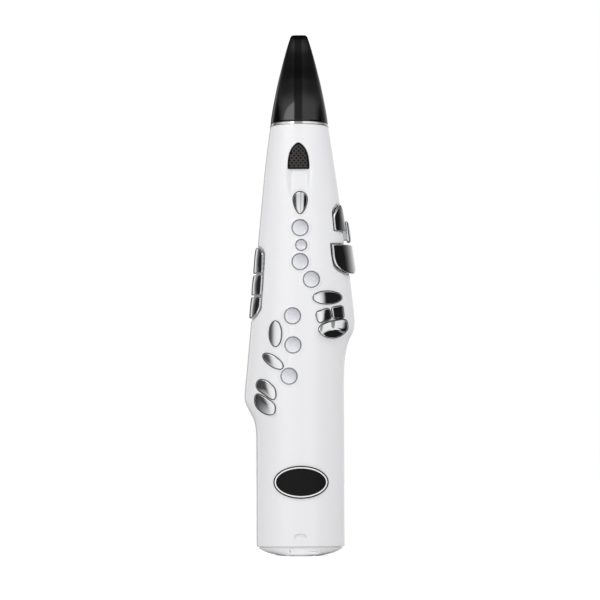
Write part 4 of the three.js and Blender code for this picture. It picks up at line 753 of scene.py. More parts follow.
def arch_outline(count=120):
    rise, half = np.array(ARCH, float).T
    along = np.r_[0, np.cumsum(np.hypot(np.diff(rise), np.diff(half)))]
    along /= along[-1]
    t = np.linspace(0, 1, 60)
    up = smooth_curve(list(zip(along, rise)))(t) - ARCH_TALL
    out = np.maximum(smooth_curve(list(zip(along, half)))(t), 0)
    foot = [
        (ARCH_WIDE - inset, drop - ARCH_TALL)
        for inset, drop in rounding(ARCH_CORNER, np.linspace(90, 15, 6))
    ]
    side = np.vstack([foot, np.stack([out, up], 1)[4:-1], [[0, up[-1]]]])
    return resampled(np.vstack([side, side[:-1][::-1] * (-1, 1)]), count)


def spine_y(z):
    return surface_y(FRONT, 0.0, z)


def sunk(depth):
    """The rule for a depth behind the grille's face, which slopes in to its foot."""
    foot, top = spine_y(GRILLE_FOOT) + 4, spine_y(GRILLE_TOP) + 0.8
    return lambda x, z: foot + (top - foot) * (z - GRILLE_FOOT) / (2 * ARCH_TALL) + depth


def notch_floor(x, z):
    share = np.clip((z - NOTCH_PLACE[1]) / 7.4 + 0.5, 0.02, 1)
    return surface_y(FRONT, x, z) + NOTCH_DEPTH * share**0.8


arch = arch_outline()
recess = layered("cut_recess", GRILLE_PLACE, arch, [
    (GAP, sunk(1.5)), (GAP, on(FRONT, -0.5)), (GAP + 0.13, on(FRONT, -0.2)),
    (GAP + 0.5, on(FRONT, 0.1)), (GAP + 0.5, on(FRONT, OVERRUN)),
])
window_outline = widened(arch, -1.3)
window = through("cut_window", GRILLE_PLACE, window_outline, sunk(0), lambda x, z: spine_y(z) + 20)
notch = layered("cut_notch", NOTCH_PLACE, oval(6.5, 3.7), [
    (0, notch_floor), (0, on(FRONT, -0.02)), (0.3, on(FRONT, 0.3)), (0.3, on(FRONT, 9)),
])
cutters += [recess, window, notch]
print("cutters for the front shell:", len(cutters))

# %% Cut the front shell
carve(front_shell, cutters)
finished(front_shell, "shell_white", "front_shell")
print("front shell faces after cutting:", len(front_shell.data.polygons))

# %% [markdown]
# ## The rear shell
# The player's side has two octave levers by the thumb rest, a flat seat for the control panel, two
# sockets near the bottom and three deep bores for the screws. The seat needs a thicker wall, so a
# flat pad is joined on behind it first. The tunnels of the screws are joined on in the same way.

# %% Places on the rear shell
OCTAVE_BAR = bar(24, 11, 3)
PANEL_PLACE = place_at(0, 0.2447)
PANEL_WIDTH, PANEL_HEIGHT, PANEL_THICK = 30.0, 66.0, 1.4
PANEL_OUTLINE = bar(PANEL_WIDTH, PANEL_HEIGHT, 4, 160)
PANEL_Y = float(surface_y(REAR, PANEL_WIDTH / 2, PANEL_PLACE[1])) - GAP
PANEL_BACK = PANEL_Y - PANEL_THICK
SEAT_Y = PANEL_BACK - GAP
BUTTON_SPREAD, BUTTON_RADIUS, BUTTON_FOOT = 7.5, 3.4, 1.2
BUTTON_Z = PANEL_PLACE[1] - 6
SLIDER_PLACE, SLIDER_X = (0, PANEL_PLACE[1] - 22), -2.0
SLIDER_SLOT = bar(9.8, 3.8, 0.6)
SOCKET_Z = height_at(0.036)
USB_PLACE, JACK_PLACE = (-12.0, SOCKET_Z), (12.0, SOCKET_Z)
USB_OUTLINE, USB_SHELL, JACK_RADIUS = bar(9, 3.4, 1.2), 0.6, 4
SCREW_PLACES = {
    "shell_screw_lower": place_at(0, 0.075),
    "shell_screw_left": place_at(-0.32, 0.872),
    "shell_screw_right": place_at(0.32, 0.872),
}
SCREW_SEAT, TUNNEL_RADIUS, HEAD_BORE, SHAFT_BORE = SEAM_BACK + 4, 5.0, 3.3, 1.8


def screw_axis(place):
    """The rule for points behind the middle of the body, square to its leaning spine."""
    cut = section(place[1])
    lean, middle = float(cut["lean"]), float(cut["y"])
    back, down = math.cos(lean), math.sin(lean)
    return lambda depth: np.array([place[0], middle + depth * back, place[1] - depth * down])


def rear_depth(place, grow=0.0):
    return float(surface_y(REAR, *place, grow) - section(place[1])["y"])


print("the panel's face stands at y", PANEL_Y)

# %% Cut the rear shell
pad = layered("panel_pad", PANEL_PLACE, PANEL_OUTLINE, [
    (WALL, SEAT_Y - WALL), (WALL, lambda x, z: surface_y(REAR, x, z, -1.2)),
])
tunnels = []
for place in SCREW_PLACES.values():
    ends = SEAM_BACK + GAP / 2, rear_depth(place, -1.9)
    tunnels.append(turned("tunnel", screw_axis(place), [(end, TUNNEL_RADIUS) for end in ends]))
carve(rear_shell, [pad, *tunnels], "UNION")
cutters = []
for rise in OCTAVE_KEYS.values():
    place = (REST_PLACE[0], REST_PLACE[1] + rise)
    cutters.append(opening("cut_octave", REAR, place, OCTAVE_BAR))
cutters.append(layered("cut_panel", PANEL_PLACE, widened(PANEL_OUTLINE, GAP), [
    (0, SEAT_Y), (0, on(REAR, -0.4)), (0.12, on(REAR, -0.12)), (0.5, on(REAR, 0.05)),
    (0.5, on(REAR, OVERRUN)),
]))
for side in (-1, 1):
    place = (side * BUTTON_SPREAD, BUTTON_Z)
    cutters.append(through("cut_bore", place, disc(BUTTON_RADIUS + 1.6), SEAT_Y - 10, SEAT_Y + 0.5))
slide = widened(SLIDER_SLOT, 1.6)
cutters.append(through("cut_slide", SLIDER_PLACE, slide, SEAT_Y - 1.3, SEAT_Y + 0.5))
usb_hole = widened(USB_OUTLINE, USB_SHELL + GAP - KEY_GAP)
cutters.append(opening("cut_usb", REAR, USB_PLACE, usb_hole, 0.5))
cutters.append(opening("cut_jack", REAR, JACK_PLACE, disc(JACK_RADIUS + GAP - KEY_GAP), 0.5))
for place in SCREW_PLACES.values():
    out = rear_depth(place)
    cutters.append(turned("cut_head", screw_axis(place), [
        (SCREW_SEAT, HEAD_BORE), (out - 0.5, HEAD_BORE), (out + 0.1, HEAD_BORE + 0.5),
        (60, HEAD_BORE + 0.5),
    ]))
    shaft = [(10, SHAFT_BORE), (SCREW_SEAT + 0.5, SHAFT_BORE)]
    cutters.append(turned("cut_shaft", screw_axis(place), shaft))
carve(rear_shell, cutters)
finished(rear_shell, "shell_white", "rear_shell")
print("rear shell faces after cutting:", len(rear_shell.data.polygons))

# %% [markdown]
# ## Keys pressed into the front
# Under each cap a flared foot keeps the key in its opening. Above it the skirt turns over in a
# quarter round to the top face, which is domed on a metal key and dished on a pearl one. A thin
# dark seal in the gap round each metal key paints the shadow line there.


# %% Pressed keys
def pressed_key(name, side, place, outline, rise, edge, crown, foot=1.2, level=0.0, form=None):
    """level is how far the top ignores the body's own slope up and down, from 0 to 1. form adds a
    height to the top by a rule over x and y."""

    def lay(points, height):
        share = min(1, max(0, (height + 1) / (rise - edge + 1)))
        low = over(side, place, points, height)
        low[:, 1] = over(side, place, points * (1, 1 - level * share), height)[:, 1]
        if form:
            low[:, 1] += side * share * form(points[:, 0], points[:, 1])
        return low

    inside = WALL + 1.0
    flared, top = widened(outline, foot), widened(outline, -edge)
    rings = [lay(flared, -inside - 1.2), lay(flared, -inside)]
    rings += [lay(outline, height) for height in (-inside, -1, rise - edge)]
    for inset, drop in rounding(edge, (22.5, 45, 67.5, 90)):
        rings.append(lay(widened(outline, -inset), rise - drop))
    for share in np.linspace(0.96, 0.04, 16):
        rings.append(lay(top * share, rise + crown * (1 - share**2)))
    return skinned(name, rings)


PEARL_RISE, PEARL_EDGE, PEARL_CROWN = 1.4, 0.5, -1.1
RING_ROWS = [
    (0, RING_PROUD - 0.15), (0.15, RING_PROUD), (RING_WIDTH - 0.25, RING_PROUD),
    (RING_WIDTH, RING_PROUD - 0.25), (RING_WIDTH, GAP - RING_DEPTH), (0, GAP - RING_DEPTH),
]
ring_rows = [(wide, on(FRONT, height)) for wide, height in RING_ROWS]
for key, (x_share, z_share, radius) in ROUND_KEYS.items():
    place, name = place_at(x_share, z_share), f"key_{key}"
    facts = (PEARL_RISE, PEARL_EDGE, PEARL_CROWN)
    finished(pressed_key(f"pearl_{key}", FRONT, place, disc(radius), *facts), "pearl", name, name)
    ring = layered(f"ring_{key}", place, disc(radius + PEARL_GAP), ring_rows, closed=True)
    finished(ring, "trim_chrome", f"bezel_{key}")
print("pearl keys:", len(ROUND_KEYS))


# %% Chrome keys
def ridge(x, y):
    """The low B flat key has a ridge: its upper part looks up and its lower part down."""
    from_ridge = y + 0.36 * np.sqrt((x - 2.6) ** 2 + 9) - 0.9
    upper, lower = 0.42 * from_ridge, -0.25 * from_ridge
    share = np.clip(from_ridge / 4 + 1, 0, 1)
    outer = (0.09 + 0.15 * eased(share)) * (x + 2 + np.sqrt((x + 2) ** 2 + 9))
    return 3.0 + outer - (upper + lower + np.sqrt((upper - lower) ** 2 + 0.5)) / 2


METAL_RISE, METAL_EDGE, METAL_FOOT = 2.4, 0.9, 0.5
TOPS = {  # crown, level and form
    "key_front_f": (0.3, 0.4, lambda x, y: 0.07 * x - 0.034 * x**2),
    "key_g_sharp": (0.35, 0.6),
    "key_low_c_sharp": (0.15, 0.75, lambda x, y: -0.009 * x**2),
    "key_low_b_flat": (0.4, 1.0, ridge),
    "key_side_f_sharp": (0.12, 0.75),
    "key_trill": (0.2, 0.75),
}
# The thin dark seal in the gap round each metal key paints the shadow line there.
SHADOW_SEAL_ROWS = [(KEY_GAP + 0.05, -0.12), (0.06, -0.12), (0.06, -1.6), (KEY_GAP + 0.05, -1.6)]
shadow_seal_rows = [(wide, on(FRONT, height)) for wide, height in SHADOW_SEAL_ROWS]
for name, (x_share, z_share, outline) in METAL_KEYS.items():
    place, short = place_at(x_share, z_share), name.removeprefix("key_")
    crown, *rest = TOPS.get(name, (0.5, 0.75))
    facts = (METAL_RISE, METAL_EDGE, crown, METAL_FOOT, *rest)
    cap = pressed_key(f"chrome_{short}", FRONT, place, outline, *facts)
    finished(cap, "key_chrome", name, name)
    # Each key's dark seal, which paints the shadow line round it.
    finished(layered(f"seal_{short}", place, outline, shadow_seal_rows, closed=True), "rubber_black")
print("chrome keys:", len(METAL_KEYS))

# %% [markdown]
# ## Palm and side keys
# These chrome paddles wrap round the flanks, three for the right hand's first finger and three
# under the left palm. Each is bent from the same outline drawing as if it were rolled on to the
# body: across the drawing becomes an angle round the body, and its rim may rise along the way. The
# short post under it slides in a bore. The two large palm keys have a dark felt underneath, which
# also paints the shadow line along their edges.

# %% Outlines of the wrapped keys
BAR = [(-0.5, 0.5), (0.5, 0.5), (0.5, -0.5), (-0.5, -0.5)]
PALM_1 = [
    (-0.5, -0.5), (-0.5, -0.05), (-0.44, 0.14), (-0.2, 0.34), (0.25, 0.53), (0.4, 0.38),
    (0.47, 0), (0.5, -0.5),
]
PALM_3 = [
    (-0.5, 0.5), (-0.5, 0), (-0.45, -0.22), (-0.3, -0.38), (-0.05, -0.49), (0.3, -0.51),
    (0.5, -0.36), (0.48, 0), (0.44, 0.5),
]
SIDE_1 = [(-0.52, 0.4), (-0.1, 0.5), (0.2, 0.44), (0.44, 0.25), (0.5, -0.5), (-0.5, -0.5)]
SIDE_3 = [(-0.5, 0.5), (0.5, 0.5), (0.5, 0.02), (0.38, -0.26), (0.08, -0.43), (-0.5, -0.5)]
WRAP_KEYS = {
    "palm_key_d": (0.7766, 0.061, 50, 76.5, PALM_1, 1.8, 4.2),
    "palm_key_e_flat": (0.7463, 0.0489, 80, 104, BAR, 6, 6.4),
    "palm_key_f": (0.6803, 0.067, 41.5, 90, PALM_3, 1.8, 7.2),
    "side_key_high_e": (0.6786, 0.0608, -96, -53.5, SIDE_1, 2.4, 1.8),
    "side_key_c": (0.62, 0.0463, -96, -53.5, BAR, 2.4, 1.8),
    "side_key_b_flat": (0.5665, 0.0501, -96, -53.5, SIDE_3, 2.4, 1.8),
}
print("keys on the flanks:", len(WRAP_KEYS))

# %% Wrapped paddles
SHADOW_FELT_KEYS, ROUND_KEY = ("palm_key_d", "palm_key_f"), "palm_key_e_flat"
CORNER, THICK, BEVEL, PADDLE_CROWN, POST_RADIUS = 2.2, 2.6, 1.4, 0.45, 2.4


class Paddle:
    """Lays an outline round the body, between two angles at a height."""

    def __init__(self, z_share, height_share, start, end, shares, rise_from, rise_to):
        self.z = height_at(z_share)
        self.start, self.end = math.radians(start), math.radians(end)
        a, b = body_point(self.z, [self.start, self.end])
        self.arc = float(np.linalg.norm(b - a))
        self.outline = rounded(shares, self.arc, height_share * LENGTH, CORNER, 120)
        self.rise_from, self.rise_to = rise_from, rise_to
        out = np.cross(b - a, (0, 0, 1))
        self.out = out / np.linalg.norm(out)
        self.foot = body_point(self.z, (self.start + self.end) / 2)

    def lay(self, outline, height):
        """height is over the rim, so that 0 is the rim and less is under it."""
        x, y = outline.T
        angle = (self.start + self.end) / 2 + x / self.arc * (self.end - self.start)
        rim = self.rise_from + (self.rise_to - self.rise_from) * (x / self.arc + 0.5)
        return body_point(self.z + y, angle, rim + height)

    def post_axis(self, height):
        return self.foot + self.out * height


paddles = {name: Paddle(*facts) for name, facts in WRAP_KEYS.items()}
for name, form in paddles.items():
    outline, is_round = form.outline, name == ROUND_KEY
    bevel, flat, under_edge, thick = (1.9, 0.95, 1.7, 3.7) if is_round else (BEVEL, 0.6, 0.5, THICK)
    rings = []
    for inset, drop in rounding(under_edge, (90, 60, 30, 0)):
        rings.append(form.lay(widened(outline, -inset), drop - thick))
    for inset, drop in rounding(bevel, (0, 15, 30, 45, 60, 75, 90)):
        rings.append(form.lay(widened(outline, -inset), -drop * flat))
    top = widened(outline, -bevel)
    half = np.abs(top).max(axis=0)
    around = np.arctan2(top[:, 1] / half[1], top[:, 0] / half[0])
    ellipse = np.stack([np.cos(around), np.sin(around)], 1) * half
    for share in np.linspace(0.95, 0.05, 16):
        inner = (top * share + ellipse * (1 - share)) * share
        rings.append(form.lay(inner, PADDLE_CROWN * (1 - share**2)))
    cap = skinned(f"paddle_{name}", rings)
    post_top = (form.rise_from + form.rise_to) / 2 - THICK / 2
    post_rows = [(-8, POST_RADIUS), (post_top, POST_RADIUS)]
    carve(cap, [turned(f"post_{name}", form.post_axis, post_rows, 32)], "UNION")
    finished(cap, "key_chrome", name, name)
    # Under the two large palm keys, a dark felt a little wider than the key, which also paints the
    # shadow line round its edge.
    if name in SHADOW_FELT_KEYS:
        wide = widened(outline, 0.45)
        wide[:, 1] = np.clip(wide[:, 1], outline[:, 1].min() + 0.3, outline[:, 1].max() - 0.3)
        low, high = -THICK - 0.3, -THICK - 0.02
        rows = [(0.8, low), (1, low), (1, high), (0.8, high)]
        shadow_felt = skinned(f"felt_{name}", [form.lay(wide * share, height) for share, height in rows])
        finished(shadow_felt, "rubber_black", None, name)
form = paddles[ROUND_KEY]
inner = form.outline * 0.8
rows = [(widened(inner, -0.4), -7.0), (inner, -6.6), (inner, -3.72)]
carrier = skinned("carrier_e_flat", [form.lay(outline, height) for outline, height in rows])
finished(carrier, "cap_white", None, ROUND_KEY)
print("paddles:", len(paddles))

# %% [markdown]
# ## Grille and badge
# The grille is a thin dark plate with rows of small holes, set off by a black rim. The oval badge
# is a black plate bent over the tube, with a white line round a woven field. It carries no name.

# %% Grille plate
GRILLE_THICK, HOLE_PITCH, HOLE_RADIUS = 1.5, 4.4, 0.95
FIVE, FOUR = (-2, -1, 0, 1, 2), (-1.5, -0.5, 0.5, 1.5)
HOLE_ROWS = [
    (3.5, FIVE), (6, FOUR), (8.4, FIVE), (10.9, FOUR), (13.3, FIVE), (15.6, FOUR),
    (18, (-1, 0, 1)), (20.2, (-0.5, 0.5)), (22.2, (0,)),
]


def arch_rings(rows):
    """Rings in the form of the arch: (how much wider, depth behind the grille's face)."""
    return [standing(GRILLE_PLACE, widened(arch, wide), sunk(depth)) for wide, depth in rows]


plate_rings = arch_rings([(0, GRILLE_THICK), (0, 0.25), (-0.15, 0), (-0.9, 0), (-1.5, 0)])
for share in np.linspace(1, 0.04, 14):
    plate_rings.append(standing(GRILLE_PLACE, arch * 0.86 * share, sunk(-0.9 * (1 - share**2))))
plate = skinned("grille", plate_rings)
holes = []
for rise, row in HOLE_ROWS:
    z = GRILLE_FOOT + rise
    y = float(sunk(0)(0, z))
    for column in row:
        x = GRILLE_PLACE[0] + column * HOLE_PITCH
        hole = [(y - 2, HOLE_RADIUS), (y + 4, HOLE_RADIUS)]
        holes.append(turned("hole", lambda y: (x, y, z), hole, 16))
carve(plate, holes)
finished(plate, "grille_black", "breath_grille")
RIM_ROWS = [
    (-1.45, 0.28), (-1.45, -0.1), (-1.25, -0.3), (-0.2, -0.3), (-0.02, -0.12), (-0.02, 0.28),
]
finished(skinned("grille_rim", arch_rings(RIM_ROWS), closed=True), "satin_black", "breath_grille")
CLOTH_ROWS = [(-0.9, GRILLE_THICK + 0.5), (-0.9, GRILLE_THICK + 0.05)]
finished(skinned("grille_cloth", arch_rings(CLOTH_ROWS)), "satin_black", "breath_grille")
print("holes in the grille:", len(holes))

# %% Badge
BADGE_PLACE, BADGE_X, BADGE_Z = place_at(0.014, 0.1534), 27.6, 16.4
BADGE_TOP, BADGE_EDGE, LINE_TOP, FIELD_INSET = 1.42, 0.5, 1.6, 2.6


def badge_piece(name, rows, closed=False):
    """Skins rows of (share of the outline, how far inside it, height over the body)."""
    rings = []
    for share, inset, height in rows:
        outline = oval(share * (BADGE_X - inset), share * (BADGE_Z - inset), 160)
        rings.append(over(FRONT, BADGE_PLACE, outline, height))
    return skinned(name, rings, closed)


rows = [(share, 0, GAP) for share in np.linspace(0.04, 0.96, 12)] + [(1, 0.1, GAP), (1, 0, 0.9)]
rows += [(1, inset, BADGE_TOP - drop) for inset, drop in rounding(BADGE_EDGE, (30, 60, 90))]
rows += [(share, BADGE_EDGE, BADGE_TOP) for share in np.linspace(0.97, 0.03, 24)]
finished(badge_piece("badge", rows), "satin_black", "badge_plate")
rows = [
    (1.25, BADGE_TOP - 0.1), (1.25, LINE_TOP - 0.05), (1.35, LINE_TOP), (2.45, LINE_TOP),
    (2.55, LINE_TOP - 0.05), (2.55, BADGE_TOP - 0.1),
]
line = badge_piece("badge_line", [(1, *row) for row in rows], closed=True)
finished(line, "cap_white", "badge_plate")
rows = [(share, FIELD_INSET, BADGE_TOP - 0.05) for share in np.linspace(0.05, 1, 12)]
rows += [(share, FIELD_INSET, BADGE_TOP + 0.05) for share in np.linspace(0.995, 0.03, 24)]
field = badge_piece("badge_field", rows)
finished(field, "satin_black", "badge_plate")
coat_with(field, "badge_weave")
print("badge pieces: 3")

# %% [markdown]
# ## The neck and the mouthpiece
# The black beak starts on the outline of the chrome collar and thins to a tip, flat at the back
# where the reed lies over a window. It pushes on to a short tube that rises from the neck, where
# two rubber rings keep it tight. All of it stands in the frame of the leaning neck.

# %% Neck frame and collar
NECK = Matrix.Translation((0, float(section(TOP_Z)["y"]), TOP_Z)) @ Matrix.Rotation(-LEAN, 4, "X")
NECK = np.array(NECK)


def neck_point(x, v, w):
    x, v, w = np.broadcast_arrays(*(np.asarray(value, float) for value in (x, v, w)))
    local = np.stack([x, v, w, np.ones(x.shape)], axis=-1)
    return (local @ NECK.T)[..., :3]


def neck_ring(half_width, front, back, w, count=96):
    angle = np.linspace(0, 2 * np.pi, count, endpoint=False)
    middle, half = (front + back) / 2, (back - front) / 2
    return neck_point(bent(np.sin(angle)) * half_width, middle - bent(np.cos(angle)) * half, w)


def neck_turned(name, rows):
    """A solid of revolution about the neck: (height, radius) rows."""
    return turned(name, lambda w: neck_point(0, 0, w), rows, 64)


COLLAR_GROW, COLLAR_LOW, COLLAR_HIGH, COLLAR_HOLE = 0.3, -2.5, 0.5, 20.0
COLLAR_SLOPE = math.tan(math.radians(15))
COLLAR_EDGE = [
    (0, -0.5), (0.08, -0.15), (0.25, 0), (0.9, 0), (1.6, 0), (2.3, 0), (2.7, -0.03),
    (2.9, -0.15), (3, -0.4),
]
edge_cut = section(NECK_Z, COLLAR_GROW)
right, front, rear = (float(edge_cut[way]) for way in ("right", "front", "rear"))
collar_rings = []
for rise, inset in COLLAR_EDGE:
    grow = inset - rise * COLLAR_SLOPE
    collar_rings.append(neck_ring(right + grow, -front - grow, rear + grow, COLLAR_LOW + rise, 160))
for w in (COLLAR_HIGH, COLLAR_LOW):
    collar_rings.append(neck_ring(COLLAR_HOLE, -COLLAR_HOLE, COLLAR_HOLE, w, 160))
finished(skinned("collar", collar_rings, closed=True), "trim_chrome", "collar_ring")
print("collar half width:", right)

# %% Neck tube
NECK_HEIGHT, NECK_RADIUS, GROOVE, SEAL_WIRE = 24.0, 8.8, 0.8, 0.75
around = np.linspace(0, 2 * np.pi, 96, endpoint=False)
plate_rings = [body_point(NECK_Z - GAP - drop, around, -WALL - GAP) for drop in (3.2, 0)]
tube = skinned("neck_tube", plate_rings)
stem_rows = [(-4, NECK_RADIUS)]
for low in (8, 17):
    stem_rows += [(low, NECK_RADIUS), (low, NECK_RADIUS - GROOVE)]
    stem_rows += [(low + 1.6, NECK_RADIUS - GROOVE), (low + 1.6, NECK_RADIUS)]
stem_rows += [(NECK_HEIGHT - 0.8, NECK_RADIUS), (NECK_HEIGHT - 0.25, NECK_RADIUS - 0.25)]
stem = neck_turned("stem", stem_rows + [(NECK_HEIGHT, NECK_RADIUS - 0.8)])
carve(tube, [stem, neck_turned("tail", [(-14, 2.6), (-1.6, 2.6)])], "UNION")
carve(tube, [neck_turned("bore", [(0, 4), (30, 4)]), neck_turned("drain", [(-20, 1.5), (6, 1.5)])])
finished(tube, "satin_black", "neck_plug")
around = np.linspace(0, 2 * np.pi, 64, endpoint=False)
for number, low in enumerate((8.05, 17.05)):
    rings = []
    for turn in np.radians(np.arange(0, 360, 30)):
        w = low + SEAL_WIRE + SEAL_WIRE * math.sin(turn)
        radius = NECK_RADIUS - 0.6 + SEAL_WIRE * math.cos(turn)
        rings.append(neck_point(radius * np.cos(around), radius * np.sin(around), w))
    finished(skinned(f"seal_{number}", rings, closed=True), "rubber_black", "neck_plug")
print("neck tube faces:", len(tube.data.polygons))

# %% Beak
mouth_width = smooth_curve([
    (0, 1), (0.05, 0.985), (0.17, 0.925), (0.31, 0.842), (0.45, 0.75), (0.59, 0.643),
    (0.72, 0.54), (0.84, 0.435), (0.93, 0.348), (0.985, 0.285), (1, 0.235),
])
mouth_front = smooth_curve([
    (0, 1), (0.2, 0.86), (0.45, 0.54), (0.65, 0.25), (0.8, 0.04), (0.95, -0.15), (1, -0.23),
])
mouth_back = smooth_curve([
    (0, 1), (0.15, 0.93), (0.3, 0.84), (0.45, 0.73), (0.6, 0.62), (0.8, 0.48), (1, 0.35),
])
MOUTH_BASE, MOUTH_LENGTH, MOUTH_HALF, MOUTH_DEPTH = 0.8, 92.3, 28.7, 26.0
CHAMBER, BORE_RADIUS = 0.62, 4.5
TABLE = [(0.45, 0.673), (0.7, 0.5115), (1, 0.262), (1.012, 0.262)]


def beak_w(s):
    return MOUTH_BASE + s * MOUTH_LENGTH


def beak_ring(s, inset=0.0):
    front, back = -MOUTH_DEPTH * mouth_front(s) + inset, MOUTH_DEPTH * mouth_back(s) - inset
    return neck_ring(MOUTH_HALF * mouth_width(s) - inset, front, back, beak_w(s), 128)


def box_ring(half_width, front, back, s):
    corners = [(-half_width, front), (half_width, front), (half_width, back), (-half_width, back)]
    return np.array([neck_point(x, v, beak_w(s)) for x, v in corners])


beak_rings = [beak_ring(0, 0.4), beak_ring(0.002, 0.12)]
beak = skinned("beak", beak_rings + [beak_ring(s) for s in np.linspace(0.005, 1, 100)])
table_rings = [box_ring(20, v * MOUTH_DEPTH, (v + 1) * MOUTH_DEPTH, s) for s, v in TABLE]
chamber_rings = [
    box_ring(BORE_RADIUS, low, MOUTH_DEPTH, s) for s, low in ((CHAMBER, -4.5), (0.965, 5.2))
]
carve(beak, [
    skinned("cut_table", table_rings),
    skinned("cut_chamber", chamber_rings),
    neck_turned("cut_bore", [(24, BORE_RADIUS), (beak_w(CHAMBER) + 4.5, BORE_RADIUS)]),
    neck_turned("cut_socket", [(-8, 9.7), (1.1, 9.7), (1.6, 9.1), (24.6, 9.1)]),
])
finished(beak, "mouthpiece_black", "mouthpiece", "mouthpiece")
print("beak faces:", len(beak.data.polygons))

# %% Reed
REED_LOW, REED_HIGH, REED_HALF, REED_BUTT, REED_TIP = 0.47, 0.985, 6.5, 3, 0.7
TABLE_LOW, TABLE_HIGH = 0.673, 0.319
reed_rings = []
arc = np.radians(np.linspace(0, 180, 15))
for along in np.linspace(0, 1, 40):
    s = REED_LOW + (REED_HIGH - REED_LOW) * along
    face = (TABLE_LOW + (TABLE_HIGH - TABLE_LOW) * (s - 0.45) / 0.55) * MOUTH_DEPTH + GAP
    thick = REED_BUTT + (REED_TIP - REED_BUTT) * along**2
    half = REED_HALF - 1.3 * max(0, (along - 0.9) / 0.1) ** 2
    x = np.r_[-half, half, half * np.cos(arc)]
    v = np.r_[face, face, face + thick * 0.6 + thick * 0.4 * np.sin(arc) ** 0.7]
    reed_rings.append(neck_point(x, v, beak_w(s)))
finished(skinned("reed_blade", reed_rings), "satin_black", "reed", "reed")
print("reed rings:", len(reed_rings))

# %% [markdown]
# ## The end cap
# A pale domed cap closes the tube. From the front its rim meets the shell, and a shadow gap opens
# towards both sides. A flat foot lets the instrument stand, and a faint raised panel runs across
# the front of the dome.

# %% End cap
DOME_TOP, DOME_INSET, CAP_RIM, SIDE_DROP = 8.2, 1.6, 9.15, 1.2
DOME_ROWS = [
    (0, 0.38), (0.03, 0.42), (0.1, 0.52), (0.22, 0.64), (0.4, 0.77), (0.62, 0.875), (0.85, 0.95),
    (0.95, 0.975),
]
dome_front = smooth_curve([(0, 0.86), (0.03, 0.9), (0.1, 0.95), (0.22, 0.98), (0.4, 1), (1, 1)])
turn = np.linspace(0, 2 * np.pi, 192, endpoint=False)
side_share = np.abs(np.sin(turn)) ** 6
front_share = np.cos(turn)[:, None] ** 4


def level_ring(inset, z):
    """The body's outline at its foot, laid flat at a height."""
    ring = body_point(BASE_Z, turn, -inset)
    ring[:, 2] = z
    return ring


rings = []
for rise, size in DOME_ROWS:
    ring = body_point(BASE_Z, turn, -DOME_INSET)
    ring *= size + (float(dome_front(rise)) - size) * front_share
    ring[:, 2] = rise * DOME_TOP
    rings.append(ring)
for extra, drop in ((0.4, 0.9), (0.12, 0.45), (0, 0.1), (0.3, 0)):
    rim = CAP_RIM - drop - SIDE_DROP * side_share
    rings.append(level_ring(0.3 + extra + 1.5 * side_share, rim))
rings += [level_ring(2.9, 9.1 - SIDE_DROP * side_share), level_ring(2.9, 9.2)]
end_cap = skinned("end_cap", rings)
plug = skinned("plug", [level_ring(WALL + GAP, 8.9), body_point(BASE_Z + 7, turn, -WALL - GAP)])
well = skinned("well", [level_ring(WALL * 2, BASE_Z + WALL), level_ring(WALL * 2, 40)])
FOOT_FRONT, FOOT_REAR = float(surface_y(FRONT, 0, BASE_Z, -DOME_INSET)) + 5, 30
FOOT_ROWS = [(0, 1.3), (0.15, 1.05), (0.5, 0.9), (8, 0)]
foot_rings = []
for z, inset in FOOT_ROWS:
    outline = bar(32 - 2 * inset, FOOT_REAR - FOOT_FRONT - 2 * inset, 2.2)
    y = outline[:, 1] + (FOOT_REAR + FOOT_FRONT) / 2
    foot_rings.append(np.stack([outline[:, 0], y, np.full(len(outline), z)], 1))
LABEL_PLACE, LABEL, LABEL_PROUD = (3.1, 5.0), bar(31, 5.4, 1.0), 0.06


def dome_face(lift):
    return lambda x, z: surface_y(FRONT, x, BASE_Z, lift - DOME_INSET)


rows = [(0, dome_face(-3)), (0, dome_face(0))]
rows += [(-inset, dome_face(LABEL_PROUD)) for inset in (0.06, 0.7, 1.3, 1.9, 2.5)]
label = layered("label", LABEL_PLACE, LABEL, rows)
carve(end_cap, [skinned("foot", foot_rings), plug, label], "UNION")
carve(end_cap, [well])
finished(end_cap, "cap_white", "bottom_cap")
print("end cap faces:", len(end_cap.data.polygons))

# %% [markdown]
# ## The player's side
# The picture shows the front only, so this side is what such instruments have: octave levers
# round a thumb rest, a hook for the right thumb, a loop for the strap, and a small control panel.


# %% Octave levers and thumb rest
def lever_dome(x, y):
    return 0.5 * (1 - (x / 12) ** 2) * (1 - (y / 5.5) ** 2)


for name, rise in OCTAVE_KEYS.items():
    place, short = (REST_PLACE[0], REST_PLACE[1] + rise), name.replace("key", "lever")
    facts = (METAL_RISE, METAL_EDGE, 0.0)
    lever = pressed_key(short, REAR, place, OCTAVE_BAR, *facts, form=lever_dome)
    finished(lever, "key_chrome", name, name)
REST_X, REST_Z, REST_TOP, REST_LOW = 11.0, 13.0, 2.7, 1.7
rows = [(share, GAP) for share in np.linspace(0.05, 1, 8)] + [(1, REST_TOP - 1)]
rows += [(1 - inset / REST_X, REST_TOP - drop) for inset, drop in rounding(1, (22, 45, 68, 90))]
for share in np.linspace(0.86, 0.03, 16):
    dish = eased(min(1, (0.9 - share) / 0.35))
    rows.append((share, REST_TOP - (REST_TOP - REST_LOW) * dish))
rings = [over(REAR, REST_PLACE, oval(REST_X, REST_Z) * share, height) for share, height in rows]
finished(skinned("thumb_pad", rings), "rubber_black", "thumb_rest")
print("thumb rest rings:", len(rows))

# %% Thumb hook
PLATE_THICK, PLATE_EDGE = 3.3, 0.8


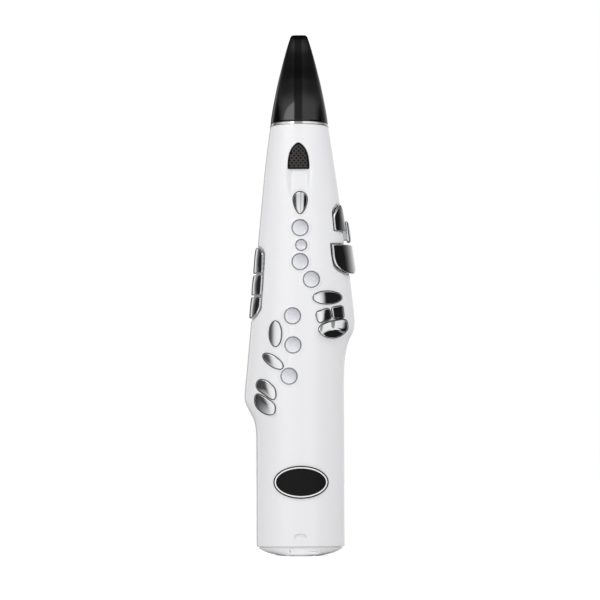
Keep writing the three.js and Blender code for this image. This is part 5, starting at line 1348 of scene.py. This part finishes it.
def foot_plate(place, width, height):
    """A plate with rounded corners and a rounded edge that lies on the rear shell."""
    outline = bar(width, height, 3.2)
    rows = [(outline * share, GAP) for share in (0.05, 0.5)]
    rows += [(outline, GAP), (outline, PLATE_THICK - PLATE_EDGE)]
    for inset, drop in rounding(PLATE_EDGE, (22, 45, 68, 90)):
        rows.append((widened(outline, -inset), PLATE_THICK - drop))
    top = widened(outline, -PLATE_EDGE)
    rows += [(top * share, PLATE_THICK) for share in (0.6, 0.05)]
    return skinned("plate", [over(REAR, place, outline, height) for outline, height in rows])


HOOK_PLACE, HOOK_REACH, HOOK_CURL = place_at(0, 0.47), 20.0, 8.0
HOOK_TIP = [(3.2, 1), (3.6, 0.96), (3.9, 0.88), (4.0, 0.75)]
hook_z, hook_y = HOOK_PLACE[1], float(surface_y(REAR, 0, HOOK_PLACE[1], GAP + 1.5))
hook_profile = bar(17, 4, 1.6)


def hook_ring(y, z, angle, size=1.0):
    x, height = (hook_profile * size).T
    return np.stack([x, y - height * math.sin(angle), z + height * math.cos(angle)], 1)


bend_y = hook_y + HOOK_REACH
rings = [hook_ring(hook_y, hook_z, 0)]
for angle in np.radians(np.linspace(0, -90, 25)):
    y, z = bend_y - math.sin(angle) * HOOK_CURL, hook_z - (1 - math.cos(angle)) * HOOK_CURL
    rings.append(hook_ring(y, z, angle))
for down, size in HOOK_TIP:
    y, z = bend_y + HOOK_CURL, hook_z - HOOK_CURL - down
    rings.append(hook_ring(y, z, -math.pi / 2, size))
hook = skinned("hook", rings)
carve(hook, [foot_plate(HOOK_PLACE, 17, 26)], "UNION")
finished(hook, "satin_black", "thumb_hook")
print("hook faces:", len(hook.data.polygons))

# %% Strap loop
LOOP_PLACE, LOOP_RADIUS, LOOP_WIRE = place_at(0, 0.583), 7.0, 1.9
loop_y = float(surface_y(REAR, 0, LOOP_PLACE[1], GAP + LOOP_WIRE)) + LOOP_RADIUS
round_wire = np.linspace(0, 2 * np.pi, 24, endpoint=False)
side, reach = LOOP_WIRE * np.sin(round_wire), LOOP_RADIUS + LOOP_WIRE * np.cos(round_wire)
rings = []
for angle in np.linspace(0, 2 * np.pi, 72, endpoint=False):
    y, z = loop_y + reach * math.cos(angle), LOOP_PLACE[1] + reach * math.sin(angle)
    rings.append(np.stack([side, y, z], 1))
loop = skinned("loop", rings, closed=True)
carve(loop, [foot_plate(LOOP_PLACE, 15, 19)], "UNION")
finished(loop, "key_chrome", "strap_loop")
print("loop faces:", len(loop.data.polygons))

# %% Control panel
DISPLAY_PLACE, DISPLAY_OUTLINE = (PANEL_PLACE[0], PANEL_PLACE[1] + 16), bar(24, 14, 1)
panel = layered("panel", PANEL_PLACE, PANEL_OUTLINE, [
    (0, PANEL_BACK), (0, PANEL_Y - 0.35), (-0.1, PANEL_Y - 0.1), (-0.35, PANEL_Y),
])


def panel_cut(name, place, outline, depth=4.0, edge=0.25):
    """A cutter into the panel's face, with a chamfer at the top."""
    return layered(name, place, outline, [
        (0, PANEL_Y - depth), (0, PANEL_Y - edge), (edge + 0.1, PANEL_Y + 0.1),
        (edge + 0.1, PANEL_Y + 4),
    ])


carve(panel, [
    panel_cut("cut_display", DISPLAY_PLACE, widened(DISPLAY_OUTLINE, GAP), 1.0),
    panel_cut("cut_left", (-BUTTON_SPREAD, BUTTON_Z), disc(BUTTON_RADIUS + KEY_GAP)),
    panel_cut("cut_right", (BUTTON_SPREAD, BUTTON_Z), disc(BUTTON_RADIUS + KEY_GAP)),
    panel_cut("cut_slot", SLIDER_PLACE, SLIDER_SLOT),
])
finished(panel, "satin_black", "control_panel")
rows = [(0, PANEL_Y - 0.7), (0, PANEL_Y - 0.12), (-0.12, PANEL_Y)]
glass = layered("display", DISPLAY_PLACE, DISPLAY_OUTLINE, rows)
finished(glass, "display_glass", "display_window")
print("control panel faces:", len(panel.data.polygons))

# %% Menu buttons and slider
BUTTON_TOP, BUTTON_EDGE = PANEL_Y + 1, 0.4
for side, name in ((-1, "menu_button_left"), (1, "menu_button_right")):
    x, wide = side * BUTTON_SPREAD, BUTTON_RADIUS + BUTTON_FOOT
    rows = [(SEAT_Y - BUTTON_FOOT, wide), (SEAT_Y, wide), (SEAT_Y, BUTTON_RADIUS)]
    rows.append((BUTTON_TOP - BUTTON_EDGE, BUTTON_RADIUS))
    for inset, drop in rounding(BUTTON_EDGE, (30, 60, 90)):
        rows.append((BUTTON_TOP - drop, BUTTON_RADIUS - inset))
    rows += [(BUTTON_TOP - 0.25 * (1 - r / 2.8), r) for r in (2.8, 2.0, 1.2, 0.4)]
    cap = turned(name.replace("menu", "panel"), lambda y: (x, y, BUTTON_Z), rows)
    finished(cap, "rubber_black", name, name)
knob_place = (SLIDER_X, SLIDER_PLACE[1])
knob = layered("slider_knob", knob_place, bar(5, 3, 0.6), [
    (1.2, SEAT_Y - 1), (1.2, SEAT_Y), (0, SEAT_Y), (0, PANEL_Y + 0.85), (-0.25, PANEL_Y + 1.1),
])
grooves = []
for x in (-1.2, 0, 1.2):
    place = (SLIDER_X + x, SLIDER_PLACE[1])
    grooves.append(through("groove", place, bar(0.5, 5, 0.2, 32), PANEL_Y + 0.7, PANEL_Y + 3))
carve(knob, grooves)
finished(knob, "satin_black", "power_slider", "power_slider")
print("slider knob faces:", len(knob.data.polygons))

# %% Sockets
face = float(surface_y(REAR, *USB_PLACE)) - GAP
usb = layered("usb_shell", USB_PLACE, widened(USB_OUTLINE, USB_SHELL), [
    (0, face - 8), (0, face - 0.15), (-0.15, face),
])
carve(usb, [through("cut", USB_PLACE, USB_OUTLINE, face - 7.4, face + 3)])
finished(usb, "steel", "usb_socket")
tongue = through("usb_tongue", USB_PLACE, bar(6.4, 0.8, 0.3), face - 7.45, face - 1)
finished(tongue, "switch_black", "usb_socket")
face = float(surface_y(REAR, *JACK_PLACE)) - GAP


def jack_turned(name, rows):
    """A solid of revolution about the jack's axis: (height over its face, radius) rows."""
    return turned(name, lambda height: (JACK_PLACE[0], face + height, JACK_PLACE[1]), rows)


jack = jack_turned("jack", [(-10, JACK_RADIUS), (-0.3, JACK_RADIUS), (-0.1, 3.9), (0, 3.7)])
jack_bore = [(-7.6, 1.8), (-0.6, 1.8), (-0.3, 2.1), (-0.25, 2.6), (3, 2.6)]
carve(jack, [jack_turned("cut", jack_bore)])
finished(jack, "steel", "phone_jack")
print("jack faces:", len(jack.data.polygons))

# %% Screws
SCREW_TIP, SCREW_UNDER, HEAD_HIGH, HEAD_EDGE = SEAM_BACK - 9, SCREW_SEAT + GAP, 2.4, 0.9
for name, place in SCREW_PLACES.items():
    axis = screw_axis(place)
    rows = [(SCREW_TIP, 0.9), (SCREW_TIP + 1, 1.5), (SCREW_UNDER, 1.5), (SCREW_UNDER, 3)]
    rows.append((SCREW_UNDER + HEAD_HIGH - HEAD_EDGE, 3))
    for inset, drop in rounding(HEAD_EDGE, (30, 60, 90)):
        rows.append((SCREW_UNDER + HEAD_HIGH - drop, 3 - inset))
    piece = turned(name.replace("shell_", ""), axis, rows)
    up = np.cross(axis(1) - axis(0), (1, 0, 0))
    for wide, tall in ((3.2, 0.7), (0.7, 3.2)):
        x, y = bar(wide, tall, 0.2, 48)[..., None].transpose(1, 0, 2)
        cross = [axis(SCREW_UNDER + height) + x * (1, 0, 0) + y * up for height in (1.2, 4)]
        carve(piece, [skinned("cross", cross)])
    finished(piece, "steel", name)
print("screws:", len(SCREW_PLACES))

# %% Finishes for what stays from the packed model
KEPT = {
    "board_green": ("key_board", "main_board"),
    "switch_black": ("palm_key_switches", "side_key_switches", "breath_sensor"),
    "cell_blue": ("battery_pack",),
    "tube_clear": ("air_tube",),
}
for finish, names in KEPT.items():
    for name in names:
        coat_with(bpy.data.objects[name], finish)
print("finishes for pieces kept from the packed model:", len(KEPT))

# %% [markdown]
# ## Studio
# The camera stands far off and level with the instrument, so that it sees it almost without
# perspective, and is turned by a fifth of a degree as in the picture.

# %% Camera
CAMERA_AWAY, SENSOR, VIEW_WIDTH, MIDDLE_X, MIDDLE_Z, ROLL = 20.0, 36, 0.6, 0.0002, 0.256, -0.19
camera = bpy.data.objects.new("camera", bpy.data.cameras.new("camera"))
scene.collection.objects.link(camera)
scene.camera = camera
camera.data.sensor_width = SENSOR
camera.data.lens = SENSOR * CAMERA_AWAY / VIEW_WIDTH
camera.data.clip_end = 100
camera.matrix_world = (
    Matrix.Translation((MIDDLE_X, -CAMERA_AWAY, MIDDLE_Z))
    @ Matrix.Rotation(math.radians(90), 4, "X")
    @ Matrix.Rotation(math.radians(ROLL), 4, "Z")
)
print("lens:", camera.data.lens)

# %% [markdown]
# The instrument stands on a plain pale floor inside a round tent of white cloth, which the camera
# doesn't see. Polished metal only looks like metal when it has something dark to reflect, so the
# tent is graded: pale in front, with a narrow gap for the lens, dark at both sides and pale again
# behind. The dark cloth is what draws the long gradients along the chrome keys.

# %% Room
SKY_ON_SURFACES, SKY_SEEN, FLOOR_LIFT, FLOOR_RADIUS = 0.68, 1.0, 0.45, 8


def seen_directly(wiring):
    """1 for rays from the camera, off polished surfaces and through clear ones, otherwise 0."""
    kinds = ("Is Camera Ray", "Is Glossy Ray", "Is Transmission Ray")
    direct, glossy, clear = (wiring.add("LightPath", {}, kind) for kind in kinds)
    return wiring.math("MAXIMUM", wiring.math("MAXIMUM", direct, glossy), clear)


world = bpy.data.worlds.new("studio")
scene.world = world
world.use_nodes = True
wiring = Wiring(world.node_tree)
sky = wiring.nodes["Background"].inputs
sky["Color"].default_value = (1, 1, 1, 1)
strength = wiring.mapped(seen_directly(wiring), SKY_ON_SURFACES, SKY_SEEN, 0, 1)
wiring.feed(sky["Strength"], strength)
print("room:", world.name)

# %% Floor
wiring, paper = new_finish("floor", (0.93, 0.93, 0.93), 0.95, specular=0.1)
paper["Emission Color"].default_value = (1, 1, 1, 1)
wiring.feed(paper["Emission Strength"], wiring.math("MULTIPLY", seen_directly(wiring), FLOOR_LIFT))
ring = [(math.cos(a), math.sin(a), 0) for a in np.radians(np.arange(0, 360, 5))]
floor_mesh = bpy.data.meshes.new("floor")
floor_mesh.from_pydata((np.array(ring) * FLOOR_RADIUS).tolist(), [], [tuple(range(len(ring)))])
floor = bpy.data.objects.new("floor", floor_mesh)
scene.collection.objects.link(floor)
coat_with(floor, "floor")
floor.visible_glossy = False
print("floor:", tuple(floor.dimensions))

# %% [markdown]
# The grades below are rows of a place and a brightness. `LEVEL` and `BELOW` go round the tent in
# degrees, with 0 in front, for what lies level with the instrument and lower. `ABOVE` goes from
# left to right over its roof, `OVERHEAD` darkens the roof towards the back, and `UPWARDS` scales
# all of it by height. A bright window high on the left is mirrored in the beak.

# %% Grades of the tent
TENT_RADIUS, TENT_MIDDLE = 3.0, 0.25
LEVEL = [
    (-180, 0.05), (-156, 0.07), (-150, 0.4), (-146, 0.95), (-140, 0.8), (-134, 0.5), (-126, 0.2),
    (-116, 0.06), (-106, 0.02), (-98, 0.017), (-80, 0.06), (-56, 0.08), (-51, 0.2), (-47, 0.46),
    (-43, 0.74), (-36, 0.92), (-25, 1.0), (-7, 0.95), (-2.5, 0.55), (2.5, 0.55), (7, 0.95),
    (20, 1.0), (27, 0.8), (32, 0.42), (34.5, 0.12), (37, 0.012), (88, 0.015), (104, 0.11),
    (120, 0.3), (140, 0.55), (162, 0.8), (180, 0.15),
]
BELOW = [
    (-180, 0.05), (-150, 0.3), (-112, 0.05), (-86, 0.2), (-67, 0.5), (-49, 0.9), (-30, 1.0),
    (20, 1.0), (27, 0.8), (32, 0.42), (37, 0.012), (100, 0.012), (150, 0.3), (180, 0.15),
]
ABOVE = [
    (-1, 0.08), (-0.88, 0.3), (-0.7, 0.85), (-0.22, 1.0), (-0.18, 0.31), (0.08, 0.31),
    (0.13, 1.0), (0.7, 0.85), (0.88, 0.3), (1, 0.08),
]
UPWARDS = [
    (-1, 1), (0.1, 1), (0.3, 0.78), (0.45, 0.78), (0.55, 0.95), (0.72, 0.95), (0.9, 0.9),
    (0.95, 0.5), (1, 0.3),
]
OVERHEAD = [(0, 1), (0.6, 1), (0.66, 0.9), (0.71, 0.62), (0.75, 0.25), (0.8, 0.08), (1, 0.02)]
LOW_SHARE = [(-1, 1), (-0.3, 1), (-0.06, 0), (1, 0)]
HIGH_SHARE = [(-1, 0), (0.44, 0), (0.52, 1), (1, 1)]
WINDOW_EDGE = [(-0.1, 0), (-0.004, 0), (0.004, 1), (0.1, 1)]
WINDOW_SIDE = [(-1, 1), (-0.2, 1), (-0.17, 0), (1, 0)]
WINDOW_GLOW = 1.8
print("grades round the tent:", len(LEVEL))

# %% Cloth of the tent
cloth = bpy.data.materials.new("finish_tent")
cloth.use_nodes = True
FINISHES["tent"] = cloth
wiring = Wiring(cloth.node_tree)
wiring.nodes.remove(wiring.nodes["Principled BSDF"])
worked = wiring.math


def graded(source, rows):
    """The brightness at a place, from rows of (place, brightness)."""
    low, high = rows[0][0], rows[-1][0]
    share = wiring.mapped(source, 0, 1, low, high)
    return wiring.ramp(share, [((at - low) / (high - low), value) for at, value in rows])


def blended(share, first, second):
    return worked("MULTIPLY_ADD", worked("SUBTRACT", second, first), share, first)


x, y, z = wiring.axes(wiring.place())
across = worked("DIVIDE", x, TENT_RADIUS)
ahead = worked("DIVIDE", y, -TENT_RADIUS)
height = worked("DIVIDE", z, TENT_RADIUS)
turned_by = worked("DEGREES", worked("ARCTAN2", across, ahead))
overhead = worked("MULTIPLY_ADD", worked("ABSOLUTE", across), 0.1, height)
overhead = worked("MULTIPLY_ADD", ahead, -0.4, overhead)
above = worked("MULTIPLY", graded(across, ABOVE), graded(overhead, OVERHEAD))
is_low, is_high = graded(height, LOW_SHARE), graded(height, HIGH_SHARE)
shade = blended(is_low, graded(turned_by, LEVEL), graded(turned_by, BELOW))
shade = worked("MULTIPLY", blended(is_high, shade, above), graded(height, UPWARDS))
edge = worked("MULTIPLY_ADD", height, -1, 0.801)
edge = worked("MULTIPLY_ADD", across, 0.449, worked("MULTIPLY_ADD", ahead, 0.202, edge))
window = worked("MULTIPLY", graded(edge, WINDOW_EDGE), is_high)
window = worked("MULTIPLY", window, graded(across, WINDOW_SIDE))
glow = wiring.add("Emission", {"Strength": worked("MULTIPLY_ADD", window, WINDOW_GLOW, shade)})
wiring.feed(wiring.nodes["Material Output"].inputs["Surface"], glow)
print("nodes in the cloth:", len(wiring.nodes))

# %% Tent
tent_mesh = bpy.data.meshes.new("tent")
work = bmesh.new()
bmesh.ops.create_icosphere(work, subdivisions=5, radius=TENT_RADIUS)
work.to_mesh(tent_mesh)
work.free()
tent = bpy.data.objects.new("tent", tent_mesh)
scene.collection.objects.link(tent)
tent.location = (0, 0, TENT_MIDDLE)
coat_with(tent, "tent")
tent.visible_camera = tent.visible_shadow = tent.visible_diffuse = False
print("tent faces:", len(tent_mesh.polygons))

# %% Lamps
AIM = Vector((0, 0, 0.28))
LAMPS = [
    ("high_left", (-1.0, -0.75, 1.4), 5.0),
    ("high_right", (0.95, -0.75, 1.4), 5.0),
    ("front_left", (-0.6, -1.6, 0.35), 2.7),
]
for name, place, power in LAMPS:
    lamp_data = bpy.data.lights.new(name, "AREA")
    lamp_data.shape, lamp_data.size, lamp_data.energy = "SQUARE", 0.8, power
    lamp = bpy.data.objects.new(name, lamp_data)
    scene.collection.objects.link(lamp)
    lamp.location = place
    lamp.rotation_euler = (AIM - lamp.location).to_track_quat("-Z", "Y").to_euler()
    lamp.visible_glossy = False
scene.view_settings.view_transform = "Standard"
print("the studio is ready")
